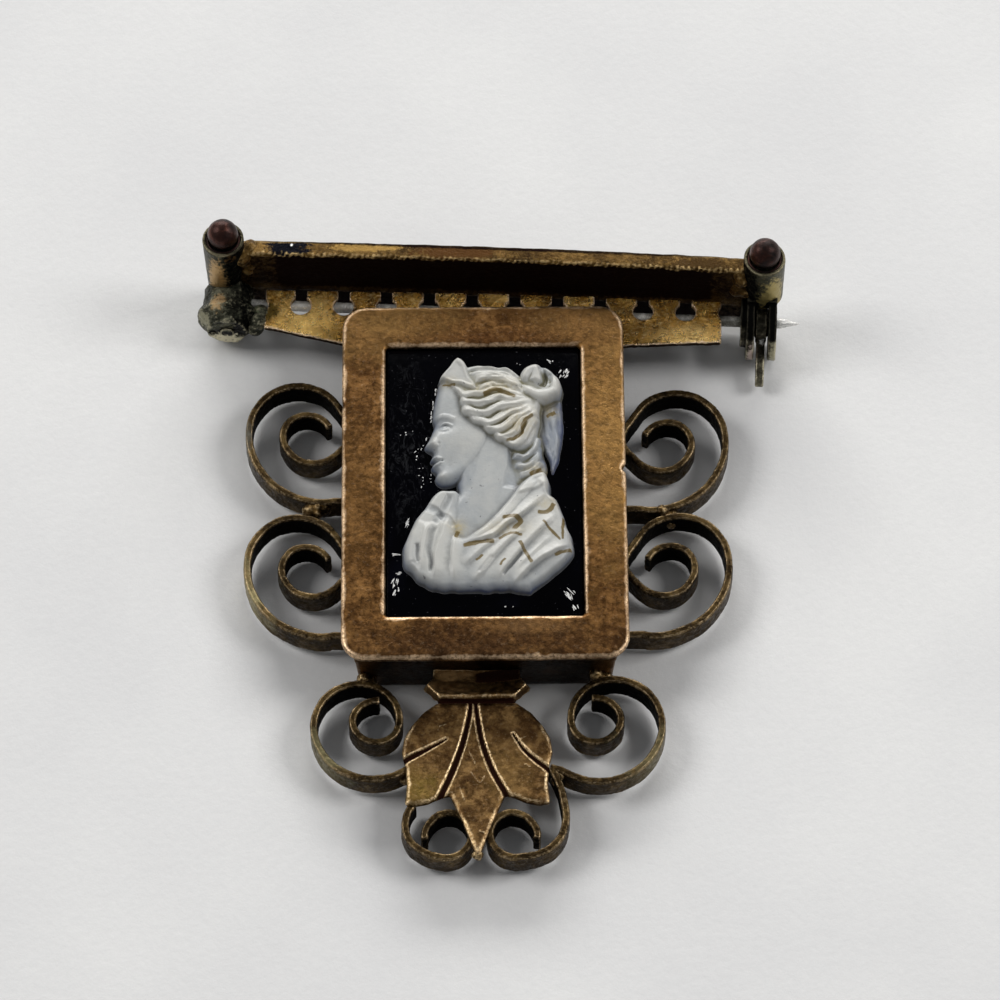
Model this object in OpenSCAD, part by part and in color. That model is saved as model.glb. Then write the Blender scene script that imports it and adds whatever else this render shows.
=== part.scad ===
// Cameo brooch lying on its back: a box-set cameo under a top bar with two bead-topped posts,
// a pierced gallery strip, wire-ribbon scrolls, a leaf drop, a pin stem and a rotary catch.
// Millimetres. Origin: centre of the case's flat back. +Z faces out of the stone, +Y is up.

/* [Case] */
// Width of the front plate
plate_w = 19.4; // [17:0.1:22]
// Height of the front plate
plate_h = 27.4; // [25:0.1:31]
// Thickness of the front plate
plate_t = 0.6; // [0.4:0.05:0.9]
// Radius of the front plate's corners
plate_corner_r = 1.7; // [0.6:0.1:2.4]
// Distance from the case's back to the face of the front plate
case_depth = 5.4; // [4.8:0.1:7]
// Width of the opening over the stone
opening_w = 13.4; // [11:0.1:14]
// Height of the opening over the stone
opening_h = 21.2; // [18:0.1:22]
// Overhang of the front plate past the side walls
side_inset = 0.75; // [0.4:0.05:1]
// Overhang of the front plate past the top and bottom walls
end_inset = 0.4; // [0.2:0.05:0.8]
// Distance that the side walls lean in towards the back
side_lean = 0.5; // [0:0.05:0.8]
// Distance that the top and bottom walls lean in towards the back
end_lean = 0.2; // [0:0.05:0.6]
// Thickness of the case walls
wall_t = 0.5; // [0.35:0.05:0.8]
// Thickness of the case back
back_t = 0.4; // [0.3:0.05:0.8]
// Width of the ledge that carries the stone
ledge_w = 0.6; // [0.4:0.05:1]

/* [Stone] */
// Thickness of the dark stone under the plate
stone_t = 1.7; // [1.2:0.1:2.2]
// Depth of the stone's face below the face of the plate
stone_recess = 0.4; // [0.25:0.05:0.55]
// Clearance between the stone and its case
stone_gap = 0.1; // [0.05:0.01:0.2]
// Gap between the dark stone and the pale layer carved on it
layer_gap = 0.02; // [0.01:0.01:0.04]
// Width of the carved bust
bust_w = 11.6; // [9:0.1:12]
// Height of the carved bust
bust_h = 18.6; // [16:0.1:19.5]
// Height of the carving above the stone
bust_relief = 1.4; // [0.9:0.05:1.8]
// Distance of the bust's middle above the stone's middle
bust_rise = 0.6; // [0:0.1:0.8]
// Height of the bust's flat cheek as a share of the whole carving
cheek_share = 0.42; // [0.3:0.02:0.6]

/* [Top bar] */
// Distance between the axes of the two posts
post_span = 37.46; // [36:0.1:42]
// Distance of the bar above the top edge of the plate
bar_rise = 3.1; // [2.6:0.1:4]
// Distance of the bar's middle from the case's middle line
bar_shift = 0.8; // [-1:0.1:1.2]
// Turn of the bar against the case, in degrees
bar_skew = 2.9; // [0:0.1:3]
// Thickness of the bar
bar_t = 0.95; // [0.7:0.05:1.4]
// Height of the bar, front to back
bar_h = 4.4; // [3:0.1:6]
// Distance of the bar's middle plane in front of the posts' axes
bar_set = 0.13; // [0:0.01:0.3]
// Outer radius of a post at its mouth
post_r = 1.45; // [1.3:0.05:1.8]
// Outer radius of a post at its foot
post_foot_r = 1.2; // [1:0.05:1.5]
// Height of the posts' mouths above the bar
post_rise = 1.0; // [0.6:0.1:1.6]
// Height of the left post's foot above the case's back
post_left_foot = 1.3; // [0.8:0.1:2]
// Wall of a post at its mouth
post_wall = 0.26; // [0.2:0.02:0.32]
// Depth of the cup in a post's mouth
cup_depth = 0.5; // [0.3:0.05:0.9]
// Radius of a bead
bead_r = 1.06; // [0.8:0.02:1.1]
// Gap between a bead and the floor of its cup
bead_gap = 0.04; // [0.02:0.01:0.1]

/* [Gallery strip] */
// Length of the gallery strip
strip_len = 31.8; // [30:0.1:33]
// Depth of the gallery strip at its deepest, measured from the bar
strip_depth = 4.9; // [4.4:0.1:5.6]
// Thickness of the gallery strip
strip_t = 0.35; // [0.25:0.05:0.6]
// Turn of the strip against the case, in degrees
strip_skew = 1.7; // [0:0.1:3]
// Distance between two keyhole cuts
keyhole_pitch = 2.98; // [2.6:0.02:3.2]
// Number of keyhole cuts
keyhole_count = 10; // [6:1:12]
// Radius of the round end of a keyhole cut
keyhole_r = 0.72; // [0.5:0.02:0.9]
// Width of the neck of a keyhole cut
keyhole_neck = 0.82; // [0.5:0.02:1]
// Distance of a keyhole's round end from the bar
keyhole_reach = 1.15; // [0.9:0.05:1.4]
// Clearance of the gallery strip over the pin stem
strip_over_pin = 0.175; // [0.1:0.025:0.4]

/* [Scrolls] */
// Thickness of the scroll ribbon
ribbon_t = 0.5; // [0.35:0.05:0.7]
// Depth of the scroll ribbon, front to back
ribbon_h = 1.85; // [1.2:0.05:2.4]
// Height of the scrolls above the case's back
ribbon_lift = 0.45; // [0.3:0.05:0.8]
// Radius of the large side scrolls
side_scroll_r = 4.3; // [4:0.05:4.5]
// Distance of the left scrolls' eyes from the edge of the plate
left_scroll_out = 2.35; // [2.3:0.05:2.5]
// Distance of the right scrolls' eyes from the edge of the plate
right_scroll_out = 2.85; // [2.7:0.05:2.9]
// Height of the upper left scroll's eye above the case's middle
upper_left_y = 5.2; // [5:0.05:5.3]
// Height of the upper right scroll's eye above the case's middle
upper_right_y = 4.4; // [4.2:0.05:4.8]
// Distance of the lower left scroll's eye below the case's middle
lower_left_y = 5.3; // [5.2:0.05:5.4]
// Distance of the lower right scroll's eye below the case's middle
lower_right_y = 5.4; // [5.3:0.05:5.6]
// Radius of the left base scroll
base_left_r = 4.4; // [4.2:0.05:4.6]
// Radius of the right base scroll
base_right_r = 4.7; // [4.5:0.05:4.8]
// Distance of the base scrolls' eyes from the middle line
base_scroll_x = 7.4; // [7.2:0.05:7.6]
// Distance of the base scrolls' eyes below the plate
base_scroll_drop = 3.15; // [3:0.05:3.3]
// Size of the two loops behind the leaf
loop_size = 3.0; // [2.8:0.05:3.2]
// Distance between the middles of the two loops
loop_spread = 4.9; // [4.8:0.05:5.1]
// Distance of the loops' middles above the leaf's tip
loop_above_tip = 1.7; // [1.4:0.05:2]
// Radius of the solder lumps that join the scrolls
solder_r = 0.65; // [0.6:0.05:0.75]
// Distance of the solder's ends inside the ribbons' edges
solder_inset = 0.2; // [0.1:0.05:0.4]

/* [Leaf] */
// Width of the leaf
leaf_w = 10.1; // [9:0.1:11]
// Length of the leaf
leaf_len = 11.4; // [10:0.1:13]
// Thickness of the leaf
leaf_t = 0.5; // [0.35:0.05:0.8]
// Distance of the leaf's top edge below the plate
leaf_drop = 2.05; // [1.9:0.05:2.4]
// Distance of the leaf's middle line from the case's middle line
leaf_shift = -0.4; // [-0.8:0.1:0.8]
// Depth of the veins cut in the leaf
vein_depth = 0.15; // [0.05:0.05:0.25]
// Width of the collar between case and leaf
collar_w = 6.6; // [5:0.1:8]
// Thickness of the collar
collar_t = 1.1; // [0.6:0.05:1.6]

/* [Pin, hinge and catch] */
// Diameter of the pin stem
pin_d = 0.75; // [0.6:0.05:1]
// Length of the pin stem past the catch's middle
pin_reach = 2.7; // [2:0.1:4]
// Length of the pin stem's point
point_len = 1.4; // [1:0.1:1.8]
// Radius of the pin stem's blunt tip
tip_r = 0.04; // [0.03:0.01:0.08]
// Radius of the hinge barrel
hinge_r = 2.15; // [2:0.05:2.5]
// Radius of the hinge barrel's small front end
hinge_nose_r = 1.35; // [1:0.05:1.6]
// Length of the hinge barrel's tapered nose
hinge_nose_len = 0.9; // [0.5:0.1:1.2]
// Chamfer on the hinge barrel's back end
hinge_chamfer = 0.4; // [0.2:0.05:0.6]
// Distance of the hinge's middle inside the left post's axis
hinge_inset = 0.3; // [0:0.05:0.6]
// Distance of the pin in front of the posts' axes
pin_set = 1.57; // [1.5:0.01:1.8]
// Length of the hinge barrel in front of the pin's slot
hinge_front = 1.83; // [1.2:0.05:2.4]
// Radius of the pin stem's eye
eye_r = 1.3; // [1:0.05:1.5]
// Thickness of the pin stem's eye
eye_t = 0.8; // [0.7:0.05:1]
// Clearance beside the pin stem's eye
eye_gap = 0.06; // [0.04:0.01:0.1]
// Clearance around the pin stem's eye
eye_room = 0.15; // [0.1:0.05:0.3]
// Radius of the hinge rivet
rivet_r = 0.4; // [0.3:0.02:0.5]
// Radial clearance of the rivet in the hinge barrel
rivet_gap = 0.02; // [0.01:0.01:0.04]
// Radial clearance of the pin stem's eye on the rivet
eye_bore_gap = 0.05; // [0.03:0.01:0.08]
// Height of the rivet's head
rivet_head_t = 0.2; // [0.1:0.05:0.3]
// Overhang of the rivet's head
rivet_head_w = 0.2; // [0.1:0.05:0.3]
// Thickness of each catch cheek
cheek_t = 0.55; // [0.4:0.05:0.8]
// Distance that the catch cheeks reach on towards the case
cheek_front = 0.55; // [0.3:0.05:0.8]
// Thickness of the flange on the catch's inner side
flange_t = 0.4; // [0.2:0.05:0.6]
// Radius of the flange on the catch's inner side
flange_r = 1.72; // [1.5:0.02:2]
// Height of the block between the catch and the right post
block_h = 0.9; // [0.6:0.1:1.2]
// Clearance of the right post's foot over the rotor
post_over_rotor = 0.2; // [0.1:0.05:0.4]
// Radius of the catch rotor
rotor_r = 1.35; // [1.2:0.05:1.5]
// Thickness of the catch rotor
rotor_t = 0.75; // [0.6:0.05:1]
// Clearance between the rotor and each cheek
rotor_gap = 0.12; // [0.08:0.01:0.2]
// Radius of the rotor's hubs
hub_r = 0.95; // [0.85:0.05:1.05]
// Radial clearance of the rotor's hubs in the cheeks
hub_gap = 0.05; // [0.03:0.01:0.08]
// Clearance of the pin stem in the catch's slot
slot_gap = 0.12; // [0.08:0.01:0.2]
// Length of the rotor's lever from the pin's axis
lever_len = 4.6; // [3.5:0.1:5]
// Width of the rotor's lever
lever_w = 1.0; // [0.7:0.05:1.2]
// Droop of the lever below level, in degrees
lever_droop = 18; // [0:1:20]

/* [Hidden] */
$fn = 48;
eps = 0.02;
// Overlap of soldered pieces, room under the hinge, and how far a cutter runs past what it cuts
bite = 0.1;
foot_gap = 0.05;
past = 1;
gold = [0.62, 0.47, 0.27];
dark_gold = [0.36, 0.30, 0.18];
steel = [0.72, 0.71, 0.68];

lip_z = case_depth - plate_t;
stone_top = lip_z - stone_gap;
stone_floor = stone_top - stone_t;
stone_face = case_depth - stone_recess;
bust_floor = stone_face + layer_gap;

pin_z = hinge_r + foot_gap;
strip_z = pin_z + pin_d / 2 + strip_over_pin;
bar_top = strip_z + bar_h;
mouth_z = bar_top + post_rise;
bar_y = plate_h / 2 + bar_rise;
bar_front = -bar_set - bar_t / 2;
strip_top_v = bar_front + bite;
right_foot = pin_z + rotor_r + post_over_rotor;
cup_r = post_r - post_wall;
bead_z = mouth_z - cup_depth + bead_gap + bead_r;

hinge_u = -post_span / 2 + hinge_inset;
catch_u = post_span / 2;
slot_v = eye_t / 2 + eye_gap;
hinge_nose_v = -pin_set - slot_v - hinge_front;
hinge_back_v = bar_front + bite;
slot_w = pin_d + 2 * slot_gap;
cheek_in = rotor_t / 2 + rotor_gap;
cheek_out = cheek_in + cheek_t;
cheek_r = hinge_r;

ribbon_top = ribbon_lift + ribbon_h;
leaf_bite = 0.15;
leaf_z = ribbon_top - leaf_bite;
leaf_top_y = -plate_h / 2 - leaf_drop;
leaf_tip_y = leaf_top_y - leaf_len;

// Distance from the middle line of a side scroll's eye
function eye_x(side) = plate_w / 2 + (side > 0 ? right_scroll_out : left_scroll_out);
// Heights of the two eyes on a side
function eyes_y(side) = side > 0 ? [upper_right_y, -lower_right_y] : [upper_left_y, -lower_left_y];
// Shares of the side scroll's radius: how far the scrolls' gap lies below the middle of their eyes, how far
// the solder stands in from the eyes, and where the scroll meets the case
scroll_gap_drop = 0.11;
solder_in = [0.05, 0.21];
case_touch = [0.75, 0.07];
// Shares of the base scroll's radius: the run of its tail, and its solder's place beside the eye
base_tail = [0.16, 0.045];
base_solder = 0.11;

// Columns: angle of a point about the scroll's eye, its distance as a share of the scroll's radius
side_turns = [
    [290, 1.24], [255, 1.08], [215, 0.96], [180, 0.955], [145, 1.02], [115, 1.03], [80, 0.91], [45, 0.73],
    [10, 0.71], [-25, 0.56], [-60, 0.50], [-105, 0.44], [-145, 0.40], [-190, 0.42], [-240, 0.45],
    [-290, 0.42], [-330, 0.39]
];
base_turns = [
    [-58, 0.96], [-90, 1.0], [-120, 1.0], [-150, 0.975], [-180, 0.94], [-210, 0.86], [-240, 0.73],
    [-270, 0.585], [-300, 0.46], [-330, 0.385], [-365, 0.362], [-420, 0.375], [-480, 0.36], [-540, 0.355],
    [-600, 0.34], [-640, 0.35]
];
loop_turns = [
    [47, 1.32], [20, 1.03], [-5, 0.80], [-35, 0.64], [-70, 0.565], [-105, 0.58], [-140, 0.60],
    [-190, 0.61], [-245, 0.58], [-280, 0.50], [-320, 0.43], [-375, 0.44]
];
// Columns: distance from the leaf's middle line as a share of half its width, distance down as a share of
// its length
leaf_half = [
    [0.53, 0], [0.72, 0.065], [0.87, 0.15], [0.97, 0.235], [1, 0.33], [0.95, 0.43], [0.935, 0.54],
    [0.957, 0.665], [0.81, 0.675], [0.65, 0.66], [0.49, 0.625], [0.365, 0.61], [0.20, 0.79], [0.05, 0.975]
];
// Columns: half the collar's width and the distance down from the case to the leaf, as shares
collar_half = [[0.92, 0], [0.92, 0.30], [1, 0.55], [0.78, 0.85]];
// Width and depth of the neck that joins collar and leaf, as shares of the collar's width and thickness
collar_neck = [0.74, 0.45];
// Columns: across and down of the corners of the right half's veins, as shares of the leaf's width and length
main_vein = [[0.03, -0.01], [0.074, -0.01], [0.215, 0.6], [0.17, 0.6]];
side_vein = [[0.22, 0.22], [0.52, 0.37], [0.52, 0.41]];
// Columns: across and up of the corners of the hinge slot's mouth, as shares of the barrel's radius
slot_mouth = [[0, 0.26], [1.7, 0.35], [1.7, -1.7], [-1.02, -1.7], [-0.42, -0.56], [-0.23, 0]];
// Columns: distance along the strip as a share of half its length, depth as a share of its full depth
strip_edge = [[-1, 0.62], [-0.65, 0.88], [-0.32, 1], [0.25, 0.96], [0.61, 0.82], [1, 0.74]];
// Columns: x and y of a lump's middle as shares of the bust's width and height, its half sizes as shares
// of the width, the height and the relief, and its tilt in degrees
bust_lumps = [
    [0.03, 0.26, 0.28, 0.175, 0.80, 10],
    [-0.10, 0.16, 0.22, 0.17, 0.62, 8],
    [-0.14, 0.03, 0.12, 0.085, 0.52, -25],
    [0.08, -0.04, 0.17, 0.17, 0.55, -12],
    [0.02, -0.33, 0.44, 0.165, 0.72, 3],
    [-0.33, -0.32, 0.16, 0.12, 0.70, 20],
    [0.33, -0.27, 0.15, 0.16, 0.70, 12],
    [0.04, -0.42, 0.40, 0.075, 0.66, 0],
    [-0.19, 0.40, 0.12, 0.075, 0.70, 52],
    [0.05, 0.38, 0.22, 0.07, 0.86, -10],
    [0.35, 0.35, 0.13, 0.08, 0.92, 0],
    [0.27, 0.27, 0.10, 0.06, 0.80, 30],
    [0.00, 0.31, 0.26, 0.035, 1.0, 14],
    [0.04, 0.24, 0.24, 0.03, 0.96, 22],
    [0.10, 0.18, 0.18, 0.03, 0.90, 34],
    [0.27, 0.10, 0.09, 0.13, 0.50, -14],
    [0.20, 0.02, 0.09, 0.09, 0.46, -10],
    [0.39, 0.175, 0.05, 0.14, 0.55, 4],
    [-0.10, -0.22, 0.30, 0.022, 0.92, 38],
    [0.06, -0.22, 0.34, 0.022, 0.94, 30],
    [0.14, -0.30, 0.30, 0.022, 0.92, 46],
    [-0.16, -0.33, 0.20, 0.02, 0.90, 60],
    [0.30, -0.30, 0.20, 0.02, 0.90, 66]
];
// Columns: x and y of the face's outline as shares of the bust's width and height
face_outline = [
    [-0.02, 0.34], [-0.21, 0.345], [-0.285, 0.28], [-0.30, 0.215], [-0.29, 0.195], [-0.345, 0.11],
    [-0.335, 0.09], [-0.30, 0.075], [-0.315, 0.048], [-0.295, 0.032], [-0.31, 0.008], [-0.28, -0.01],
    [-0.285, -0.04], [-0.24, -0.06], [-0.14, -0.045], [-0.02, 0.03]
];

// Smooth curve through four neighbouring values
function blend(a, b, c, d, t) =
    0.5 * (2 * b + (c - a) * t + (2 * a - 5 * b + 4 * c - d) * t * t + (3 * b - a - 3 * c + d) * t * t * t);

function turn_point(rows, i, t) =
    let (
        last = len(rows) - 1,
        reach = blend(rows[max(i - 1, 0)][1], rows[i][1], rows[i + 1][1], rows[min(i + 2, last)][1], t),
        angle = rows[i][0] + (rows[i + 1][0] - rows[i][0]) * t
    )
    [reach * cos(angle), reach * sin(angle)];

function turn_path(rows, steps) = [
    for (i = [0:len(rows) - 2]) for (k = [0:steps - 1]) turn_point(rows, i, k / steps),
    turn_point(rows, len(rows) - 2, 1)
];

function unit(v) = v / norm(v);

function ribbon_edge(path, off) = [
    for (i = [0:len(path) - 1])
        let (ahead = unit(path[min(i + 1, len(path) - 1)] - path[max(i - 1, 0)]))
        path[i] + off * [-ahead[1], ahead[0]]
];

function back_and_forth(path, off) =
    let (near = ribbon_edge(path, -off), last = len(path) - 1)
    concat(ribbon_edge(path, off), [for (i = [0:last]) near[last - i]]);

// A ribbon on edge, bent along a path
module ribbon(path) {
    translate([0, 0, ribbon_lift])
        linear_extrude(ribbon_h) polygon(back_and_forth(path, ribbon_t / 2));
}

module rounded_rect(w, h, r) {
    square([w - 2 * r, h], center = true);
    square([w, h - 2 * r], center = true);
    for (x = [-1, 1], y = [-1, 1])
        translate([x * (w / 2 - r), y * (h / 2 - r)]) circle(r);
}

// Half the width and half the height of the case's outside at a height
function half_w(z) = plate_w / 2 - side_inset - side_lean * (1 - z / lip_z);
function half_h(z) = plate_h / 2 - end_inset - end_lean * (1 - z / lip_z);

// The box's tapered form between two heights, drawn in by a wall
module taper_block(z0, z1, wall) {
    intersection() {
        translate([0, plate_h / 2, 0]) rotate([90, 0, 0]) linear_extrude(plate_h)
            polygon([[-half_w(z0) + wall, z0], [half_w(z0) - wall, z0],
                     [half_w(z1) - wall, z1], [-half_w(z1) + wall, z1]]);
        translate([-plate_w / 2, 0, 0]) rotate([90, 0, 90]) linear_extrude(plate_w)
            polygon([[-half_h(z0) + wall, z0], [half_h(z0) - wall, z0],
                     [half_h(z1) - wall, z1], [-half_h(z1) + wall, z1]]);
    }
}

module case_box() {
    difference() {
        taper_block(0, lip_z + eps, 0);
        taper_block(stone_floor - stone_gap / 2, lip_z + past, wall_t);
        taper_block(back_t, stone_floor + eps, wall_t + ledge_w);
    }
    translate([0, 0, lip_z]) linear_extrude(plate_t) difference() {
        rounded_rect(plate_w, plate_h, plate_corner_r);
        square([opening_w, opening_h], center = true);
    }
}

// Places what hangs on the top bar: along the bar is X, away from the case is Y
module on_bar(turn) {
    translate([bar_shift, bar_y, 0]) rotate([0, 0, -turn]) children();
}

module post(x, foot) {
    translate([x, 0, foot]) cylinder(h = mouth_z - foot, r1 = post_foot_r, r2 = post_r);
}

module top_bar() {
    on_bar(bar_skew) {
        translate([-post_span / 2, bar_front, strip_z]) cube([post_span, bar_t, bar_h]);
        difference() {
            union() {
                post(-post_span / 2, post_left_foot);
                post(post_span / 2, right_foot);
            }
            for (x = [-1, 1])
                translate([x * post_span / 2, 0, mouth_z - cup_depth])
                    cylinder(h = cup_depth + past, r = cup_r);
        }
    }
}

module keyhole(x) {
    translate([x, strip_top_v - keyhole_reach]) {
        circle(keyhole_r);
        translate([-keyhole_neck / 2, 0]) square([keyhole_neck, keyhole_reach + past]);
    }
}

module gallery_strip() {
    half = strip_len / 2;
    on_bar(strip_skew) translate([0, 0, strip_z]) linear_extrude(strip_t) difference() {
        polygon(concat(
            [[half, strip_top_v], [-half, strip_top_v]],
            [for (p = strip_edge) [p[0] * half, strip_top_v - p[1] * strip_depth]]
        ));
        for (i = [0:keyhole_count + 1]) keyhole((i - (keyhole_count + 1) / 2) * keyhole_pitch);
    }
}

module side_scroll(side, y) {
    eye = eye_x(side);
    rest = side_scroll_r * turn_path(side_turns, 3);
    tail = [eye - half_w(ribbon_top) + wall_t / 2, rest[0][1]];
    translate([side * eye, y, 0]) ribbon([for (p = concat([tail], rest)) [-side * p[0], p[1]]]);
}

module base_scroll(side, r) {
    path = r * turn_path(base_turns, 3);
    tail = path[0] + r * base_tail;
    translate([side * base_scroll_x, -plate_h / 2 - base_scroll_drop, 0])
        ribbon([for (p = concat([tail], path)) [-side * p[0], p[1]]]);
}

module loops() {
    path = loop_size * turn_path(loop_turns, 3);
    for (side = [-1, 1])
        translate([leaf_shift + side * loop_spread / 2, leaf_tip_y + loop_above_tip, 0])
            ribbon([for (p = path) [side * p[0], p[1]]]);
}

module solder(x, y) {
    translate([x, y, ribbon_lift + solder_inset]) cylinder(h = ribbon_h - 2 * solder_inset, r = solder_r);
}

function on_leaf(rows) = [for (p = rows) [p[0] * leaf_w, -p[1] * leaf_len]];

// The main vein and the side vein of the leaf's right half
module half_veins() {
    polygon(on_leaf(main_vein));
    polygon(on_leaf(side_vein));
}

module leaf_veins() {
    half_veins();
    mirror([1, 0, 0]) half_veins();
}

module leaf() {
    half = leaf_w / 2;
    count = len(leaf_half);
    right = [for (p = leaf_half) [p[0] * half, -p[1] * leaf_len]];
    left = [for (i = [1:count]) [-leaf_half[count - i][0] * half, -leaf_half[count - i][1] * leaf_len]];
    translate([leaf_shift, leaf_top_y, leaf_z]) difference() {
        linear_extrude(leaf_t) polygon(concat(right, [[0, -leaf_len]], left));
        translate([0, 0, leaf_t - vein_depth]) linear_extrude(past) leaf_veins();
    }
}

module collar() {
    wall_y = -half_h(leaf_z) + wall_t / 2;
    down = wall_y - leaf_top_y;
    count = len(collar_half);
    right = [for (p = collar_half) [p[0] * collar_w / 2, wall_y - p[1] * down]];
    left = [for (i = [1:count]) [-right[count - i][0], right[count - i][1]]];
    neck = [collar_neck[0] * collar_w, down / 2, collar_neck[1] * collar_t];
    translate([leaf_shift, 0, leaf_z + leaf_t - collar_t])
        linear_extrude(collar_t) polygon(concat(right, left));
    translate([leaf_shift - neck[0] / 2, leaf_top_y - neck[1] / 3, leaf_z - neck[2] / 2]) cube(neck);
}

module hinge_barrel() {
    translate([hinge_u, 0, pin_z]) rotate([90, 0, 0]) rotate_extrude()
        polygon([[0, -hinge_back_v], [hinge_r - hinge_chamfer, -hinge_back_v],
                 [hinge_r, -hinge_back_v + hinge_chamfer], [hinge_r, -hinge_nose_v - hinge_nose_len],
                 [hinge_nose_r, -hinge_nose_v], [0, -hinge_nose_v]]);
}

// The pin's slot in the hinge: room for the eye, open where the stem swings
module hinge_slot() {
    translate([hinge_u, -pin_set + slot_v, pin_z]) rotate([90, 0, 0]) linear_extrude(2 * slot_v) {
        circle(eye_r + eye_room);
        polygon(hinge_r * slot_mouth);
    }
}

module rivet_bore() {
    translate([hinge_u, hinge_back_v - eps, pin_z]) rotate([90, 0, 0])
        cylinder(h = hinge_back_v - hinge_nose_v + past, r = rivet_r + rivet_gap);
}

module cheek_outline() {
    circle(cheek_r);
    translate([-cheek_front, 0]) circle(cheek_r);
    translate([-cheek_front, -cheek_r]) square([cheek_front, 2 * cheek_r]);
}

module slot_outline(r) {
    circle(r);
    translate([-slot_w / 2, -2 * cheek_r]) square([slot_w, 2 * cheek_r]);
}

// A plate of the catch, drawn in the plane across the pin, from one place along the pin to another
module across_pin(u0, u1) {
    translate([catch_u + u0, -pin_set, pin_z]) rotate([90, 0, 90]) linear_extrude(u1 - u0) children();
}

module catch_frame() {
    for (side = [-1, 1])
        across_pin(side > 0 ? cheek_in : -cheek_out, side > 0 ? cheek_out : -cheek_in) difference() {
            cheek_outline();
            slot_outline(hub_r + hub_gap);
        }
    across_pin(-cheek_out - flange_t, -cheek_out + eps) difference() {
        circle(flange_r);
        slot_outline(slot_w / 2);
    }
    translate([catch_u - cheek_out, -pin_set + 2 * bite, right_foot]) cube([2 * cheek_out, pin_set, block_h]);
}

// Room for the rotor in the end of the bar
module rotor_room() {
    across_pin(-cheek_in, cheek_in) circle(rotor_r + rotor_gap);
}

module mount() {
    color(gold) {
        case_box();
        difference() {
            gallery_strip();
            taper_block(back_t, lip_z + past, wall_t / 2);
        }
        leaf();
        collar();
    }
    color(dark_gold) {
        difference() {
            union() {
                top_bar();
                on_bar(bar_skew) hinge_barrel();
            }
            on_bar(bar_skew) {
                hinge_slot();
                rivet_bore();
                rotor_room();
            }
        }
        on_bar(bar_skew) catch_frame();
        for (side = [-1, 1]) {
            base_r = side > 0 ? base_right_r : base_left_r;
            eyes = eyes_y(side);
            gap_y = (eyes[0] + eyes[1]) / 2 - scroll_gap_drop * side_scroll_r;
            touch = side_scroll_r * case_touch;
            for (share = solder_in) solder(side * (eye_x(side) - share * side_scroll_r), gap_y);
            for (y = eyes) {
                side_scroll(side, y);
                solder(side * (eye_x(side) - touch[0]), y + touch[1]);
            }
            base_scroll(side, base_r);
            solder(side * (base_scroll_x + base_solder * base_r), -plate_h / 2 + bite);
        }
        loops();
    }
}

module stone() {
    slab_w = 2 * (half_w(stone_floor) - wall_t - stone_gap);
    slab_h = 2 * (half_h(stone_floor) - wall_t - stone_gap);
    color([0.03, 0.03, 0.06]) {
        translate([-slab_w / 2, -slab_h / 2, stone_floor]) cube([slab_w, slab_h, stone_t]);
        translate([-opening_w / 2 + stone_gap, -opening_h / 2 + stone_gap, stone_floor])
            cube([opening_w - 2 * stone_gap, opening_h - 2 * stone_gap, stone_face - stone_floor]);
    }
}

module bust_lump(row) {
    translate([row[0] * bust_w, row[1] * bust_h, 0]) rotate([0, 0, row[5]])
        scale([row[2] * bust_w, row[3] * bust_h, row[4] * bust_relief]) sphere(1, $fn = 24);
}

module bust() {
    color([0.86, 0.88, 0.90]) translate([0, bust_rise, bust_floor]) intersection() {
        union() {
            for (row = bust_lumps) bust_lump(row);
            linear_extrude(bust_relief * cheek_share)
                polygon([for (p = face_outline) [p[0] * bust_w, p[1] * bust_h]]);
        }
        translate([-bust_w / 2, -bust_h / 2, 0]) cube([bust_w, bust_h, bust_relief]);
    }
}

module bead(side) {
    color([0.30, 0.14, 0.10]) on_bar(bar_skew) translate([side * post_span / 2, 0, bead_z]) sphere(bead_r);
}

module bead_left() { bead(-1); }

module bead_right() { bead(1); }

module hinge_rivet() {
    back = hinge_back_v - 2 * eps;
    shank = back - hinge_nose_v + bite;
    color(steel) on_bar(bar_skew) translate([hinge_u, back, pin_z]) rotate([90, 0, 0]) {
        cylinder(h = shank, r = rivet_r);
        translate([0, 0, shank - bite + eps]) cylinder(h = rivet_head_t, r = rivet_r + rivet_head_w);
    }
}

module pin_stem() {
    straight = catch_u - hinge_u + pin_reach - point_len;
    color(steel) on_bar(bar_skew) translate([hinge_u, -pin_set, pin_z]) difference() {
        union() {
            translate([0, eye_t / 2, 0]) rotate([90, 0, 0]) cylinder(h = eye_t, r = eye_r);
            rotate([0, 90, 0]) {
                cylinder(h = straight, r = pin_d / 2, $fn = 24);
                translate([0, 0, straight]) cylinder(h = point_len, r1 = pin_d / 2, r2 = tip_r, $fn = 24);
            }
        }
        translate([0, eye_t, 0]) rotate([90, 0, 0]) cylinder(h = 2 * eye_t, r = rivet_r + eye_bore_gap);
    }
}

module rotor_outline() {
    arm = lever_len - lever_w / 2;
    circle(rotor_r);
    rotate(180 + lever_droop) {
        translate([0, -lever_w / 2]) square([arm, lever_w]);
        translate([arm, 0]) circle(lever_w / 2);
    }
}

module hub(u0, u1) {
    across_pin(u0, u1) difference() {
        circle(hub_r);
        slot_outline(slot_w / 2);
    }
}

module catch_rotor() {
    hub_end = cheek_out - hub_gap;
    color(steel) on_bar(bar_skew) {
        across_pin(-rotor_t / 2, rotor_t / 2) difference() {
            rotor_outline();
            slot_outline(slot_w / 2);
        }
        hub(rotor_t / 2 - eps, hub_end);
        hub(-hub_end, -rotor_t / 2 + eps);
    }
}

mount();
stone();
bust();
bead_left();
bead_right();
hinge_rivet();
pin_stem();
catch_rotor();
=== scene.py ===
import math

import bpy
import numpy as np
from mathutils import Matrix, Vector


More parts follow.
